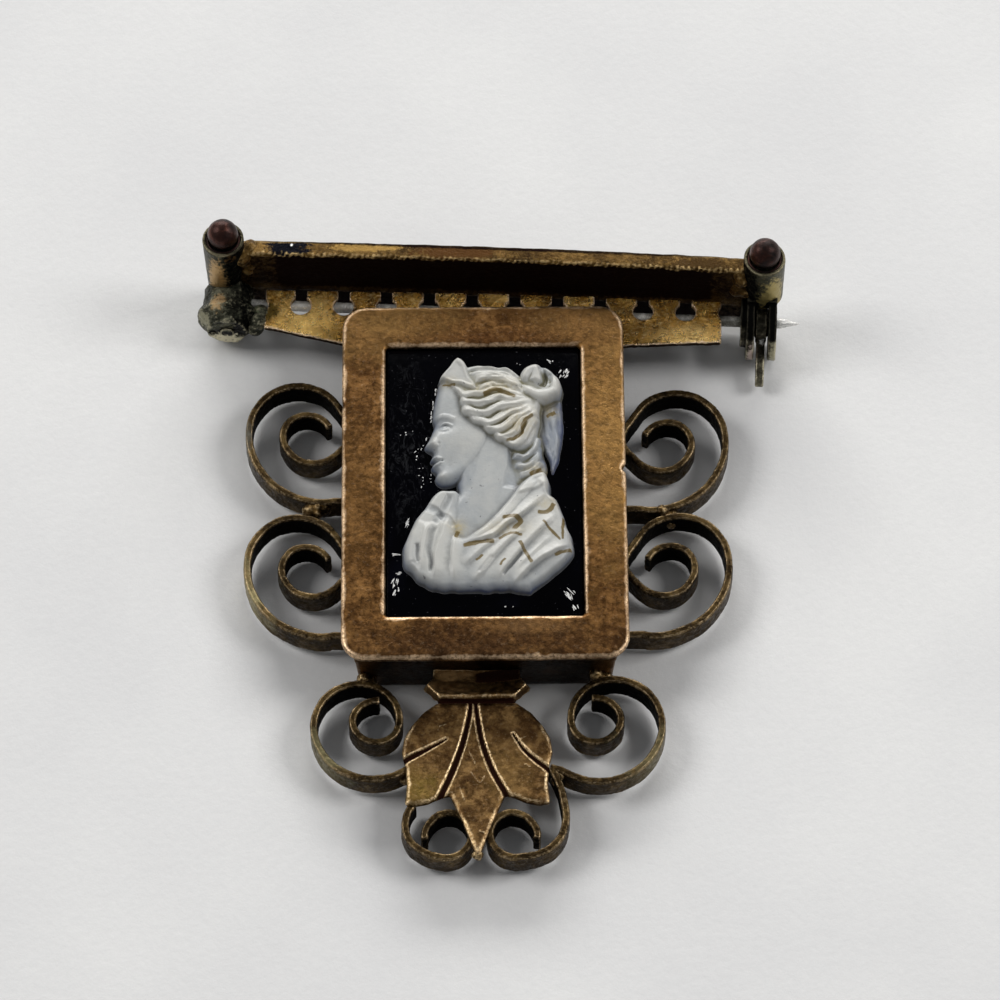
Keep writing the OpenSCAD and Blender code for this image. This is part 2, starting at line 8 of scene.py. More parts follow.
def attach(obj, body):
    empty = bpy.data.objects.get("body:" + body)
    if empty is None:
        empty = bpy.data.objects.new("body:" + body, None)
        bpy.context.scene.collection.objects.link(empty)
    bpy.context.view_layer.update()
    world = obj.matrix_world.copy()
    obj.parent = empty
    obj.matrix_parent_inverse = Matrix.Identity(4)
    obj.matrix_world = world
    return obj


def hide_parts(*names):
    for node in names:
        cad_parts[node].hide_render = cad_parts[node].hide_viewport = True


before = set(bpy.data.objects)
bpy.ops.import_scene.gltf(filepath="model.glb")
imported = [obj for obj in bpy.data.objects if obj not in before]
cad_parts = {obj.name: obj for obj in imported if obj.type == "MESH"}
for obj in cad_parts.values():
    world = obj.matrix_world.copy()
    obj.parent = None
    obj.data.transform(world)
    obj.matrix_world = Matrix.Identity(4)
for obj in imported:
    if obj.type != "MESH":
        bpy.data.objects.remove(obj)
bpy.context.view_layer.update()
print("brooch loaded:", len(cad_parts), "nodes")

# Pieces are modelled in millimetres and brought to metres when they are finished
perMetre = 1000.0
closeGap = 0.001  # points nearer than this become one


def clearPick():
    if bpy.context.object and bpy.context.object.mode == "EDIT":
        bpy.ops.object.mode_set(mode="OBJECT")
    bpy.ops.object.select_all(action="DESELECT")


def pick(first, *others):
    clearPick()
    for obj in (first, *others):
        obj.select_set(True)
    bpy.context.view_layer.objects.active = first


def startEdit(obj, everything=True):
    pick(obj)
    bpy.ops.object.mode_set(mode="EDIT")
    bpy.ops.mesh.select_all(action="SELECT" if everything else "DESELECT")


def endEdit():
    bpy.ops.object.mode_set(mode="OBJECT")


def startEditOn(obj, kind, chosen):  # edit mode with the chosen faces or edges alone
    startEdit(obj, everything=False)
    bpy.ops.mesh.select_mode(type=kind)
    endEdit()
    parts = obj.data.polygons if kind == "FACE" else obj.data.edges
    parts.foreach_set("select", np.array(chosen, bool))
    bpy.ops.object.mode_set(mode="EDIT")


def facesUp(obj):
    return [face.normal.z > 0.9 for face in obj.data.polygons]


def faceOutward(obj, merge=0):
    startEdit(obj)
    if merge:
        bpy.ops.mesh.remove_doubles(threshold=merge)
    bpy.ops.mesh.normals_make_consistent(inside=False)
    endEdit()


def applyPlace(obj):
    pick(obj)
    bpy.ops.object.transform_apply(location=True, rotation=True, scale=True)


def applyModifier(obj, kind, **settings):
    pick(obj)
    modifier = obj.modifiers.new(kind.title(), kind)
    for key, value in settings.items():
        setattr(modifier, key, value)
    bpy.ops.object.modifier_apply(modifier=modifier.name)
    return obj


def joinPieces(first, *others):
    if others:
        pick(first, *others)
        bpy.ops.object.join()
    return first


def cutAway(obj, cutter):
    applyModifier(obj, "BOOLEAN", object=cutter, operation="DIFFERENCE", solver="EXACT")
    bpy.data.objects.remove(cutter)
    return obj


def roundEdges(obj, width, segments=3, angle=35):
    return applyModifier(obj, "BEVEL", width=width, segments=segments, limit_method="ANGLE",
                         angle_limit=math.radians(angle))


def fuseSkin(obj, size, rounds=2):
    applyModifier(obj, "REMESH", mode="VOXEL", voxel_size=size)
    if rounds:
        applyModifier(obj, "SMOOTH", factor=0.5, iterations=rounds)
    return obj


def roughen(obj, grain, direction="NORMAL"):  # grain: rows of size and depth
    for size, depth in grain:
        texture = bpy.data.textures.new(obj.name + "Grain", "CLOUDS")
        texture.noise_scale = size
        texture.noise_depth = 3
        applyModifier(obj, "DISPLACE", texture=texture, strength=depth, mid_level=0.5,
                      texture_coords="LOCAL", direction=direction)


def moveBy(obj, matrix):
    obj.matrix_world = matrix @ obj.matrix_world
    applyPlace(obj)
    return obj


def readPoints(obj):
    points = np.zeros(len(obj.data.vertices) * 3)
    obj.data.vertices.foreach_get("co", points)
    return points.reshape(-1, 3)


def writePoints(obj, points):
    obj.data.vertices.foreach_set("co", np.ascontiguousarray(points).ravel())
    obj.data.update()


def readNormals(obj):
    normals = np.zeros(len(obj.data.vertices) * 3)
    obj.data.vertex_normals.foreach_get("vector", normals)
    return normals.reshape(-1, 3)


def writeValue(obj, name, values):
    layer = obj.data.attributes.get(name) or obj.data.attributes.new(name, "FLOAT", "POINT")
    layer.data.foreach_set("value", np.clip(values, 0, 1).astype(np.float32))


def brighten(obj, share):  # makes places bright as worn edges look: real wear, and painted highlights on rims
    edge = np.zeros(len(share), np.float32)
    obj.data.attributes["edge"].data.foreach_get("value", edge)
    writeValue(obj, "edge", np.maximum(edge, 0.5 + 0.25 * share))


def smoothStep(values, low, high):
    t = np.clip((values - low) / (high - low), 0, 1)
    return t * t * (3 - 2 * t)


def paintEdges(obj, gain):  # 0.5 is flat, more is a worn edge, less is a hollow
    points, normals = readPoints(obj), readNormals(obj)
    ends = np.zeros(len(obj.data.edges) * 2, int)
    obj.data.edges.foreach_get("vertices", ends)
    a, b = ends.reshape(-1, 2).T
    span = points[b] - points[a]
    length = np.linalg.norm(span, axis=1) + 1e-9
    bend, count = np.zeros(len(points)), np.zeros(len(points))
    np.add.at(bend, a, -(span * normals[a]).sum(1) / length)
    np.add.at(bend, b, (span * normals[b]).sum(1) / length)
    np.add.at(count, a, 1)
    np.add.at(count, b, 1)
    count = np.maximum(count, 1)
    bend = bend / count
    nearby = np.zeros(len(points))
    np.add.at(nearby, a, bend[b])
    np.add.at(nearby, b, bend[a])
    writeValue(obj, "edge", 0.5 + gain * (bend + nearby / count) / 2)


def finishPiece(obj, name, material, body="brooch", replaced=("mount",),
                smooth=None, edgeGain=1.5, dark=None):
    obj.name = obj.data.name = name
    applyPlace(obj)
    paintEdges(obj, edgeGain)
    if dark is None:
        writeValue(obj, "dark", np.zeros(len(obj.data.vertices)))
    else:
        writeValue(obj, "dark", dark(readPoints(obj), readNormals(obj)))
    obj.scale = (1 / perMetre,) * 3
    applyPlace(obj)
    if smooth is None:
        bpy.ops.object.shade_smooth()
    else:
        bpy.ops.object.shade_smooth_by_angle(angle=math.radians(smooth))
    obj.data.materials.clear()
    obj.data.materials.append(material)
    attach(obj, body)
    if replaced:
        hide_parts(*replaced)
    return obj


def addBox(low, high):
    middle = [(a + b) / 2 for a, b in zip(low, high)]
    clearPick()
    bpy.ops.mesh.primitive_cube_add(size=1, location=middle)
    obj = bpy.context.object
    obj.scale = [b - a for a, b in zip(low, high)]
    applyPlace(obj)
    return obj


def addPrism(outline, low, high):  # an outline in X and Y, raised from low to high
    clearPick()
    bpy.ops.mesh.primitive_circle_add(vertices=len(outline), fill_type="NGON")
    obj = bpy.context.object
    for vertex, point in zip(obj.data.vertices, outline):
        vertex.co = (point[0], point[1], low)
    startEdit(obj)
    bpy.ops.mesh.extrude_region_move(TRANSFORM_OT_translate={"value": (0, 0, high - low)})
    endEdit()
    faceOutward(obj)
    return obj


def addTurned(rows, sides=72):  # a solid turned about Z from rows of radius and height
    clearPick()
    bpy.ops.mesh.primitive_circle_add(vertices=len(rows), fill_type="NOTHING")
    obj = bpy.context.object
    for vertex, (radius, height) in zip(obj.data.vertices, rows):
        vertex.co = (radius, 0, height)
    applyModifier(obj, "SCREW", steps=sides, render_steps=sides, use_merge_vertices=True,
                  merge_threshold=closeGap)
    faceOutward(obj, closeGap)
    return obj


def addDisc(radius, low, high, sides=64):
    clearPick()
    bpy.ops.mesh.primitive_cylinder_add(vertices=sides, radius=radius, depth=high - low,
                                        location=(0, 0, (low + high) / 2))
    obj = bpy.context.object
    applyPlace(obj)
    return obj


def arcPoints(x, y, radius, start, end, steps):
    angles = [math.radians(start + (end - start) * k / steps) for k in range(steps + 1)]
    return [(x + radius * math.cos(a), y + radius * math.sin(a)) for a in angles]


def keyholeOutline(radius, neck, reach):  # a round hole whose mouth opens towards -Y
    opening = math.degrees(math.asin(min(neck / 2 / radius, 1)))
    hole = arcPoints(0, 0, radius, -90 + opening, 270 - opening, 36)
    return hole + [(-neck / 2, -reach), (neck / 2, -reach)]


def throughFour(a, b, c, d, t):
    square, cube = 2 * a - 5 * b + 4 * c - d, 3 * b - a - 3 * c + d
    return 0.5 * (2 * b + (c - a) * t + square * t ** 2 + cube * t ** 3)


def smoothLine(points, steps):  # a smooth curve through the points
    line, last = [], len(points) - 1
    for i in range(last):
        four = [points[max(i - 1, 0)], points[i], points[i + 1], points[min(i + 2, last)]]
        for k in range(steps):
            line.append([throughFour(*column, k / steps) for column in zip(*four)])
    line.append(list(points[-1]))
    return line


def turnPath(rows, radius, steps):  # a spiral from rows of angle and reach
    reaches = smoothLine([(reach,) for _, reach in rows], steps)
    angles = [rows[i][0] + (rows[i + 1][0] - rows[i][0]) * k / steps
              for i in range(len(rows) - 1) for k in range(steps)] + [rows[-1][0]]
    return [(radius * reach * math.cos(math.radians(angle)), radius * reach * math.sin(math.radians(angle)))
            for angle, (reach,) in zip(angles, reaches)]


def lineDistance(points, line):  # each point's distance to a line, and its place along it
    line = np.array(line)
    best = np.full(len(points), 1e9)
    along = np.zeros(len(points))
    for i in range(len(line) - 1):
        a, b = line[i], line[i + 1]
        span = b - a
        t = np.clip(((points - a) @ span) / max(span @ span, 1e-12), 0, 1)
        gap = np.linalg.norm(points - a - t[:, None] * span, axis=1)
        nearer = gap < best
        best[nearer] = gap[nearer]
        along[nearer] = (i + t[nearer]) / (len(line) - 1)
    return best, along


def shaken(points, seed, size, depth):  # points shifted a little by crossing waves
    draw = np.random.RandomState(seed)
    moved = points.astype(float)
    for _ in range(6):
        wave = points @ draw.normal(0, 1, points.shape[1]) * 2 * math.pi / size
        moved += depth * np.sin(wave[:, None] + draw.uniform(0, 6.3, points.shape[1])) / 2.4
    return moved


# Materials: patterns are laid out in millimetres on object coordinates, and colours go from 0 to 255
def tint(colour):
    if not isinstance(colour, tuple):
        return colour
    return tuple(((c / 255 + 0.055) / 1.055) ** 2.4 if c > 10 else c / 255 / 12.92 for c in colour) + (1,)


def fill(tree, node, values):  # links what another node gives, and sets what is plain
    for key, value in values.items():
        if isinstance(value, bpy.types.NodeSocket):
            tree.links.new(value, node.inputs[key])
        else:
            node.inputs[key].default_value = value


def addNode(tree, kind, values=None, **settings):
    made = tree.nodes.new(kind)
    for key, value in settings.items():
        setattr(made, key, value)
    fill(tree, made, values or {})
    return made


def startMaterial(name):
    material = bpy.data.materials.new(name)
    material.use_nodes = True
    tree = material.node_tree
    spot = addNode(tree, "ShaderNodeTexCoord").outputs["Object"]
    place = vectors(tree, "MULTIPLY", spot, (perMetre,) * 3).outputs[0]
    return material, tree, tree.nodes["Principled BSDF"], place


def vectors(tree, operation, a, b=(0, 0, 0)):
    return addNode(tree, "ShaderNodeVectorMath", {0: a, 1: b}, operation=operation)


def stretched(tree, place, scale, turn):
    return addNode(tree, "ShaderNodeMapping", {"Vector": place, "Scale": scale,
                                               "Rotation": (0, 0, math.radians(turn))}).outputs[0]


def noise(tree, place, scale, detail=4, rough=0.6, twist=0.0):
    return addNode(tree, "ShaderNodeTexNoise", {"Vector": place, "Scale": scale, "Detail": detail,
                                                "Roughness": rough, "Distortion": twist}).outputs["Fac"]


def spread(tree, value, low, high, toLow=0.0, toHigh=1.0):
    return addNode(tree, "ShaderNodeMapRange", {"Value": value, "From Min": low, "From Max": high,
                                                "To Min": toLow, "To Max": toHigh}).outputs[0]


def sums(tree, operation, a, b):
    return addNode(tree, "ShaderNodeMath", {0: a, 1: b}, operation=operation).outputs[0]


def mixed(tree, share, a, b):
    return addNode(tree, "ShaderNodeMix", {0: share, 6: tint(a), 7: tint(b)}, data_type="RGBA").outputs[2]


def ramp(tree, value, stops):
    made = addNode(tree, "ShaderNodeValToRGB", {"Fac": value})
    band = made.color_ramp
    while len(band.elements) < len(stops):
        band.elements.new(0.5)
    for element, (position, colour) in zip(band.elements, stops):
        element.position = position
        element.color = tint(colour)
    return made.outputs["Color"]


def attribute(tree, name):
    return addNode(tree, "ShaderNodeAttribute", attribute_name=name).outputs["Fac"]


def patchMask(tree, place, wobble, centre, size, outer=1.1, inner=0.8):  # a blotch with an uneven outline
    off = vectors(tree, "SUBTRACT", place, centre).outputs[0]
    scaled = vectors(tree, "DIVIDE", off, size).outputs[0]
    reach = vectors(tree, "LENGTH", scaled).outputs["Value"]
    uneven = sums(tree, "ADD", reach, spread(tree, wobble, 0.3, 0.7, -0.5, 0.5))
    return spread(tree, uneven, outer, inner)


def bumped(tree, heights, distance):
    total = None
    for share, height in heights:
        part = sums(tree, "MULTIPLY", height, share)
        total = part if total is None else sums(tree, "ADD", total, part)
    return addNode(tree, "ShaderNodeBump", {"Height": total, "Distance": distance / perMetre,
                                            "Strength": 1.0}).outputs[0]


# Aged metal: mottle, grain and speck are fine when high, and every share goes from 0 to 1
agedLook = {
    "mottle": 0.55, "grain": 3.0, "speck": 7.0, "speckShare": 0.5, "wornLow": 0.57, "wornHigh": 0.72,
    "roughLow": 0.28, "roughHigh": 0.55, "scratch": (0.5, 7.0, 1.0), "scratchTurn": 4.0, "scratchShare": 0.35,
    "bump": 0.03, "metallic": 1.0, "patches": (), "fields": (), "grainShare": 0.7, "fleckShare": 0.0,
    "fleck": (255, 226, 156), "wornGap": 0.35, "grimeMetal": 0.0, "specular": 0.02,
}


def agedMetal(name, **changes):
    look = {**agedLook, **changes}
    material, tree, shader, place = startMaterial(name)
    mottle = noise(tree, place, look["mottle"], 6, 0.65, 0.3)
    colour = ramp(tree, mottle, [(0.33, look["dark"]), (0.5, look["base"]), (0.67, look["light"])])
    grain = noise(tree, place, look["grain"], 6, 0.7)
    speck = noise(tree, place, look["speck"], 3, 0.6)
    specks = sums(tree, "MULTIPLY", spread(tree, speck, 0.55, 0.68), look["speckShare"])
    colour = mixed(tree, specks, colour, look["grime"])
    colour = mixed(tree, spread(tree, grain, 0.52, 0.7, 0, look["grainShare"]), colour, look["light"])
    colour = mixed(tree, spread(tree, grain, 0.48, 0.3, 0, look["grainShare"]), colour, look["dark"])
    for centre, size, share, fieldColour in look["fields"]:
        field = sums(tree, "MULTIPLY", patchMask(tree, place, mottle, centre, size, 1.3, 0.2), share)
        colour = mixed(tree, field, colour, fieldColour)
    # painted glints: bright streaks in the colour that stand in for light caught by crinkled facets
    if look["fleckShare"]:
        fleck = noise(tree, stretched(tree, place, (2.6, 6.0, 2.6), 35.0), 1.0, 5, 0.75, 0.6)
        paintedGlints = sums(tree, "MULTIPLY", spread(tree, fleck, 0.53, 0.62), look["fleckShare"])
        colour = mixed(tree, paintedGlints, colour, look["fleck"])
    lines = noise(tree, stretched(tree, place, look["scratch"], look["scratchTurn"]), 2.0, 5, 0.7)
    scratches = sums(tree, "MULTIPLY", spread(tree, lines, 0.56, 0.72), look["scratchShare"])
    colour = mixed(tree, scratches, colour, look["edge"])
    for centre, size, patchColour in look["patches"]:
        colour = mixed(tree, patchMask(tree, place, grain, centre, size), colour, patchColour)
    # the dark attribute carries painted shade on many pieces; the noise and the hollows add real grime
    grime = sums(tree, "ADD", attribute(tree, "dark"), spread(tree, grain, 0.3, 0.7, -0.25, 0.25))
    edge = attribute(tree, "edge")
    hollow = spread(tree, edge, 0.46, 0.36)
    grimeMask = sums(tree, "MAXIMUM", spread(tree, grime, 0.3, 0.75), sums(tree, "MULTIPLY", hollow, 0.8))
    colour = mixed(tree, grimeMask, colour, look["grime"])
    unevenEdge = sums(tree, "ADD", edge, spread(tree, mottle, 0.3, 0.7, -0.06, 0.06))
    worn = spread(tree, unevenEdge, look["wornLow"], look["wornHigh"])
    worn = sums(tree, "MULTIPLY", worn, spread(tree, speck, 0.36, 0.54, look["wornGap"], 1.0))
    worn = sums(tree, "MULTIPLY", worn, spread(tree, attribute(tree, "dark"), 0.5, 0.85, 1.0, 0.08))
    colour = mixed(tree, worn, colour, look["edge"])
    rough = spread(tree, grain, 0.3, 0.7, look["roughLow"], look["roughHigh"])
    rough = sums(tree, "ADD", rough, sums(tree, "MULTIPLY", grimeMask, 0.15))
    metal = look["metallic"]
    if look["grimeMetal"] < 1:
        metal = spread(tree, grimeMask, 0, 1, metal, metal * look["grimeMetal"])
    relief = bumped(tree, ((1.0, grain), (0.6, speck), (0.8, lines)), look["bump"])
    fill(tree, shader, {"Base Color": colour, "Roughness": rough, "Metallic": metal, "Normal": relief,
                        "Specular IOR Level": look["specular"]})
    return material


plateMetal = agedMetal("plateMetal", dark=(76, 51, 26), base=(101, 70, 38), light=(140, 102, 59),
                       edge=(236, 204, 166), grime=(42, 26, 13), mottle=0.5, grain=2.2, speck=6.0,
                       speckShare=0.5, scratch=(1.6, 2.0, 1.0), scratchTurn=30.0, scratchShare=0.12,
                       wornLow=0.565, wornHigh=0.66, bump=0.025, grainShare=0.85,
                       # fields are painted sheen and shade: lighter on the right, left and top borders,
                       # darker along the top inner edge and the bottom border, with a painted highlight on
                       # the lower inner bevel
                       fields=(((8.4, 3.0, 5.4), (3.0, 9.0, 3.0), 0.75, (172, 132, 76)),
                               ((-7.0, 12.3, 5.4), (5.0, 2.6, 3.0), 0.6, (150, 116, 68)),
                               ((6.5, 12.5, 5.4), (3.4, 2.2, 3.0), 0.5, (150, 114, 68)),
                               ((-8.4, -1.0, 5.4), (1.6, 6.0, 3.0), 0.35, (124, 92, 52)),
                               ((0.0, 11.2, 5.4), (7.5, 0.7, 3.0), 0.5, (84, 52, 28)),
                               ((0.0, -13.0, 5.4), (11.0, 1.9, 3.0), 0.65, (62, 42, 27)),
                               ((3.0, -11.4, 5.4), (3.0, 0.7, 3.0), 0.4, (146, 112, 74))))
wallMetal = agedMetal("wallMetal", dark=(12, 8, 5), base=(28, 19, 11), light=(60, 42, 26),
                      edge=(120, 96, 68), grime=(6, 4, 3), wornLow=0.6, wornHigh=0.8,
                      # fields are painted highlights on the box's two lower corners
                      fields=(((-8.4, -13.2, 3.0), (1.2, 0.9, 3.4), 0.85, (128, 94, 56)),
                              ((8.4, -13.2, 3.0), (1.2, 0.9, 3.4), 0.85, (128, 94, 56))))
ribbonMetal = agedMetal("ribbonMetal", dark=(32, 24, 14), base=(62, 48, 28), light=(108, 88, 54),
                        edge=(216, 190, 150), grime=(7, 5, 3), mottle=0.7, wornLow=0.61, wornHigh=0.86,
                        wornGap=0.0, scratch=(1.5, 2.5, 1.0), scratchTurn=20.0, scratchShare=0.2,
                        # fields are painted highlights on the outer walls of the side scrolls and the base
                        # scrolls
                        fields=(((-16.6, -7.4, 1.2), (2.2, 4.2, 2.2), 0.95, (172, 160, 118)),
                                ((-16.9, 4.0, 1.2), (1.1, 3.0, 2.2), 0.9, (126, 124, 114)),
                                ((-11.2, -19.6, 1.2), (2.1, 2.1, 2.2), 0.9, (136, 128, 94)),
                                ((11.2, -19.8, 1.2), (2.3, 2.1, 2.2), 0.9, (130, 120, 88))))
leafMetal = agedMetal("leafMetal", dark=(68, 47, 26), base=(106, 79, 47), light=(154, 121, 76),
                      edge=(240, 212, 166), grime=(38, 18, 11), mottle=0.8, grain=2.4, speckShare=0.4,
                      wornGap=0.0, scratch=(2.0, 2.6, 1.0), scratchTurn=35.0, scratchShare=0.15,
                      # the first field is a painted highlight on the collar
                      fields=(((-2.3, -14.4, 2.3), (1.7, 0.9, 0.8), 0.8, (226, 182, 124)),
                              ((-4.4, -22.4, 2.6), (1.6, 1.8, 2.0), 0.6, (136, 114, 56)),
                              ((1.4, -21.0, 2.6), (1.6, 2.4, 2.0), 0.5, (142, 112, 66)),
                              ((2.0, -18.0, 2.6), (2.2, 1.0, 2.0), 0.5, (80, 54, 30))))
stripMetal = agedMetal("stripMetal", dark=(96, 66, 24), base=(160, 115, 46), light=(232, 190, 106),
                       edge=(250, 222, 188), grime=(40, 24, 11), mottle=0.8, grain=1.8, bump=0.12,
                       roughLow=0.18, roughHigh=0.4, scratch=(2.0, 3.0, 1.0), scratchTurn=40.0,
                       scratchShare=0.2, wornLow=0.57, wornHigh=0.66, speckShare=0.0, fleckShare=0.35,
                       fleck=(255, 232, 172), grainShare=0.3,
                       # fields are painted highlights on the left and right ends and a painted shade towards
                       # the right
                       fields=(((-12.4, 13.8, 3.0), (2.0, 2.2, 2.0), 0.7, (255, 214, 126)),
                               ((14.6, 12.2, 3.0), (3.0, 1.3, 2.0), 0.7, (255, 218, 140)),
                               ((10.3, 13.6, 3.0), (2.4, 1.6, 2.0), 0.5, (96, 70, 34))),
                       patches=(((-15.2, 15.1, 3.0), (0.9, 0.9, 0.7), (92, 74, 34)),
                                ((-9.6, 15.2, 3.0), (0.9, 0.8, 0.7), (100, 76, 44)),
                                ((-16.0, 13.6, 3.0), (0.9, 0.6, 0.7), (132, 96, 34)),
                                ((12.0, 11.6, 3.0), (1.4, 0.7, 0.6), (92, 74, 34))))
barMetal = agedMetal("barMetal", dark=(40, 28, 15), base=(86, 65, 34), light=(140, 110, 62),
                     edge=(190, 162, 112), grime=(22, 10, 7), mottle=0.6, wornLow=0.58, wornHigh=0.74,
                     speckShare=0.75, bump=0.08, scratch=(2.0, 3.0, 1.0), scratchTurn=30.0, scratchShare=0.2,
                     patches=(((-13.4, 17.7, 7.1), (1.4, 1.1, 0.7), (14, 15, 22)),
                              # the small white patch is a painted glint
                              ((-13.2, 17.85, 7.1), (0.11, 0.11, 0.3), (235, 235, 235)),
                              ((-8.0, 17.6, 7.1), (2.4, 0.35, 0.5), (150, 120, 66)),
                              ((-2.0, 17.1, 7.1), (3.0, 0.5, 0.5), (80, 54, 28)),
                              ((15.0, 15.9, 7.0), (2.2, 0.8, 0.8), (70, 52, 28))))
postMetal = agedMetal("postMetal", dark=(26, 27, 21), base=(54, 54, 42), light=(96, 94, 74),
                      edge=(160, 150, 122), grime=(5, 5, 5), mottle=0.5, wornLow=0.6, wornHigh=0.8,
                      # the first two patches are painted highlights on the posts' lit sides
                      patches=(((-18.4, 16.4, 4.4), (0.7, 1.0, 2.8), (184, 152, 104)),
                               ((20.15, 14.5, 4.8), (0.95, 0.9, 2.6), (166, 150, 96)),
                               ((-17.4, 16.2, 7.6), (0.4, 0.6, 0.5), (140, 104, 60))))
hingeMetal = agedMetal("hingeMetal", dark=(24, 25, 21), base=(58, 59, 49), light=(120, 119, 100),
                       edge=(176, 170, 144), grime=(7, 7, 6), mottle=0.8, speckShare=0.6, bump=0.08,
                       # patches are painted highlights in the pale colours and painted shade in the two
                       # near-black ones
                       patches=(((-19.6, 14.2, 2.9), (0.7, 0.9, 0.9), (150, 147, 124)),
                                ((-15.9, 15.3, 2.7), (0.6, 0.8, 0.9), (122, 126, 100)),
                                ((-18.4, 15.2, 4.0), (0.6, 0.7, 0.6), (178, 150, 108)),
                                ((-16.8, 14.1, 2.5), (0.6, 0.9, 1.0), (14, 13, 12)),
                                ((-17.8, 13.8, 2.0), (1.7, 0.7, 0.4), (12, 11, 10)),
                                ((-18.0, 13.8, 1.15), (1.5, 0.9, 0.75), (216, 208, 180))))
catchMetal = agedMetal("catchMetal", dark=(24, 23, 19), base=(60, 57, 47), light=(122, 117, 98),
                       edge=(196, 188, 162), grime=(7, 7, 6), mottle=0.8, wornLow=0.58, wornHigh=0.74,
                       # patches are painted reflections on the lower cheeks and a painted glint on the rotor
                       patches=(((18.66, 12.1, 1.9), (0.35, 1.2, 1.3), (190, 172, 162)),
                                ((20.2, 12.2, 2.2), (0.35, 1.2, 1.5), (166, 161, 134)),
                                ((19.43, 12.9, 1.7), (0.3, 0.5, 0.5), (240, 240, 236))))
solderMetal = agedMetal("solderMetal", dark=(34, 24, 13), base=(72, 54, 30), light=(124, 98, 58),
                        edge=(206, 180, 136), grime=(12, 8, 5), mottle=1.2)
pinMetal = agedMetal("pinMetal", dark=(120, 118, 114), base=(182, 180, 174), light=(226, 224, 218),
                     edge=(246, 244, 238), grime=(40, 38, 32), mottle=0.6, roughLow=0.15, roughHigh=0.35,
                     speckShare=0.1, metallic=0.3, scratchShare=0.1, grimeMetal=1.0, specular=0.5,
                     # fields are a painted reflection where the pin shows through the left keyholes, painted
                     # shade towards the right, and a painted highlight at the point
                     fields=(((-12.8, 15.0, 2.4), (2.6, 1.5, 1.5), 0.9, (250, 248, 240)),
                             ((15.4, 13.8, 2.4), (4.2, 1.5, 1.5), 0.9, (74, 74, 58)),
                             ((21.6, 13.6, 2.2), (1.2, 1.5, 1.5), 0.9, (252, 252, 250))))
print("metals ready")

# Camera: it looks down at 60 degrees from the leaf's end
view = {
    "target": (1.09, -0.3, 3.0), "distance": 410.4, "turn": 0.5, "elevation": 60.0, "lens": 216.0,
    "sensor": 36.0,
}


def aimed(way):  # the turn that points a lamp or camera along a way
    return way.to_track_quat("-Z", "Y").to_euler()


turn, rise = math.radians(view["turn"]), math.radians(view["elevation"])
sight = Vector((math.sin(turn) * math.cos(rise), math.cos(turn) * math.cos(rise), -math.sin(rise)))
clearPick()
bpy.ops.object.camera_add(location=(Vector(view["target"]) - sight * view["distance"]) / perMetre,
                          rotation=aimed(sight))
camera = bpy.context.object
camera.data.lens = view["lens"]
camera.data.sensor_width = view["sensor"]
camera.data.clip_start = 0.01
bpy.context.scene.camera = camera

# Floor and light, in metres; the floor lies just under the case's back, so the two don't share a plane
studio = {
    "floorSize": 3.0, "floorHeight": -0.00005,
    "world": (0.97, 0.98, 1.0, 1), "worldStrength": 0.20,
    "lamps": [
        # place, aim, width, height, power, colour
        ((0.0, 0.92, 0.42), (0, 0, 0), 1.0, 0.3, 8.2, (1.0, 0.99, 0.97)),
        ((-0.72, 0.15, 0.7), (0, 0, 0), 0.4, 0.4, 3.5, (1.0, 0.99, 0.98)),
        ((0.75, 0.1, 0.66), (0, 0, 0), 0.4, 0.4, 3.9, (1.0, 0.99, 0.98)),
    ],
}


def makeFloorMaterial():
    material, tree, shader, place = startMaterial("paleFloor")
    soft = noise(tree, place, 0.05, 4, 0.5)
    fine = noise(tree, place, 1.6, 5, 0.7)
    colour = ramp(tree, soft, [(0.35, (226, 226, 226)), (0.65, (234, 234, 233))])
    colour = mixed(tree, spread(tree, fine, 0.35, 0.65, 0, 0.12), colour, (205, 206, 208))
    fill(tree, shader, {"Base Color": colour, "Roughness": 0.7, "Normal": bumped(tree, ((1.0, fine),), 0.03)})
    return material


def makeStudio():
    clearPick()
    bpy.ops.mesh.primitive_plane_add(size=studio["floorSize"], location=(0, 0, studio["floorHeight"]))
    floor = bpy.context.object
    floor.name = "floor"
    applyPlace(floor)
    floor.data.materials.append(makeFloorMaterial())
    for place, aim, width, height, power, colour in studio["lamps"]:
        bpy.ops.object.light_add(type="AREA", location=place, rotation=aimed(Vector(aim) - Vector(place)))
        lamp = bpy.context.object.data
        lamp.shape = "RECTANGLE"
        lamp.size = width
        lamp.size_y = height
        lamp.energy = power
        lamp.color = colour
    world = bpy.context.scene.world or bpy.data.worlds.new("studio")
    bpy.context.scene.world = world
    world.use_nodes = True
    sky = world.node_tree.nodes["Background"]
    sky.inputs["Color"].default_value = studio["world"]
    sky.inputs["Strength"].default_value = studio["worldStrength"]
    bpy.context.scene.view_settings.view_transform = "Standard"


makeStudio()
print("camera, floor and light ready")

# Case: the front plate with its opening, and the box under it
case = {
    "width": 19.4, "height": 27.4, "plateHeight": 27.75, "thick": 0.6, "face": 5.4, "cornerRadius": 1.7,
    "openingWidth": 13.4, "openingHeight": 21.2, "edgeRound": 0.24, "voxel": 0.14, "boxVoxel": 0.22,
    "sideInset": 0.75, "endInset": 0.4, "sideLean": 0.5, "endLean": 0.2, "wall": 0.5,
    "plateGrain": [(1.6, 0.05), (0.35, 0.02)], "boxRound": 0.12, "boxGrain": [(2.5, 0.08)],
    "hollowFloor": 2.95,
    # place, radius, depth
    "dents": [(9.75, 0.84, 0.45, 0.22), (-9.72, 6.0, 0.5, 0.05), (6.65, 7.4, 0.4, 0.06),
              (4.0, -13.7, 0.6, 0.06)],
}


def caseHalf(z):
    share = 1 - z / (case["face"] - case["thick"])
    return (case["width"] / 2 - case["sideInset"] - case["sideLean"] * share,
            case["height"] / 2 - case["endInset"] - case["endLean"] * share)


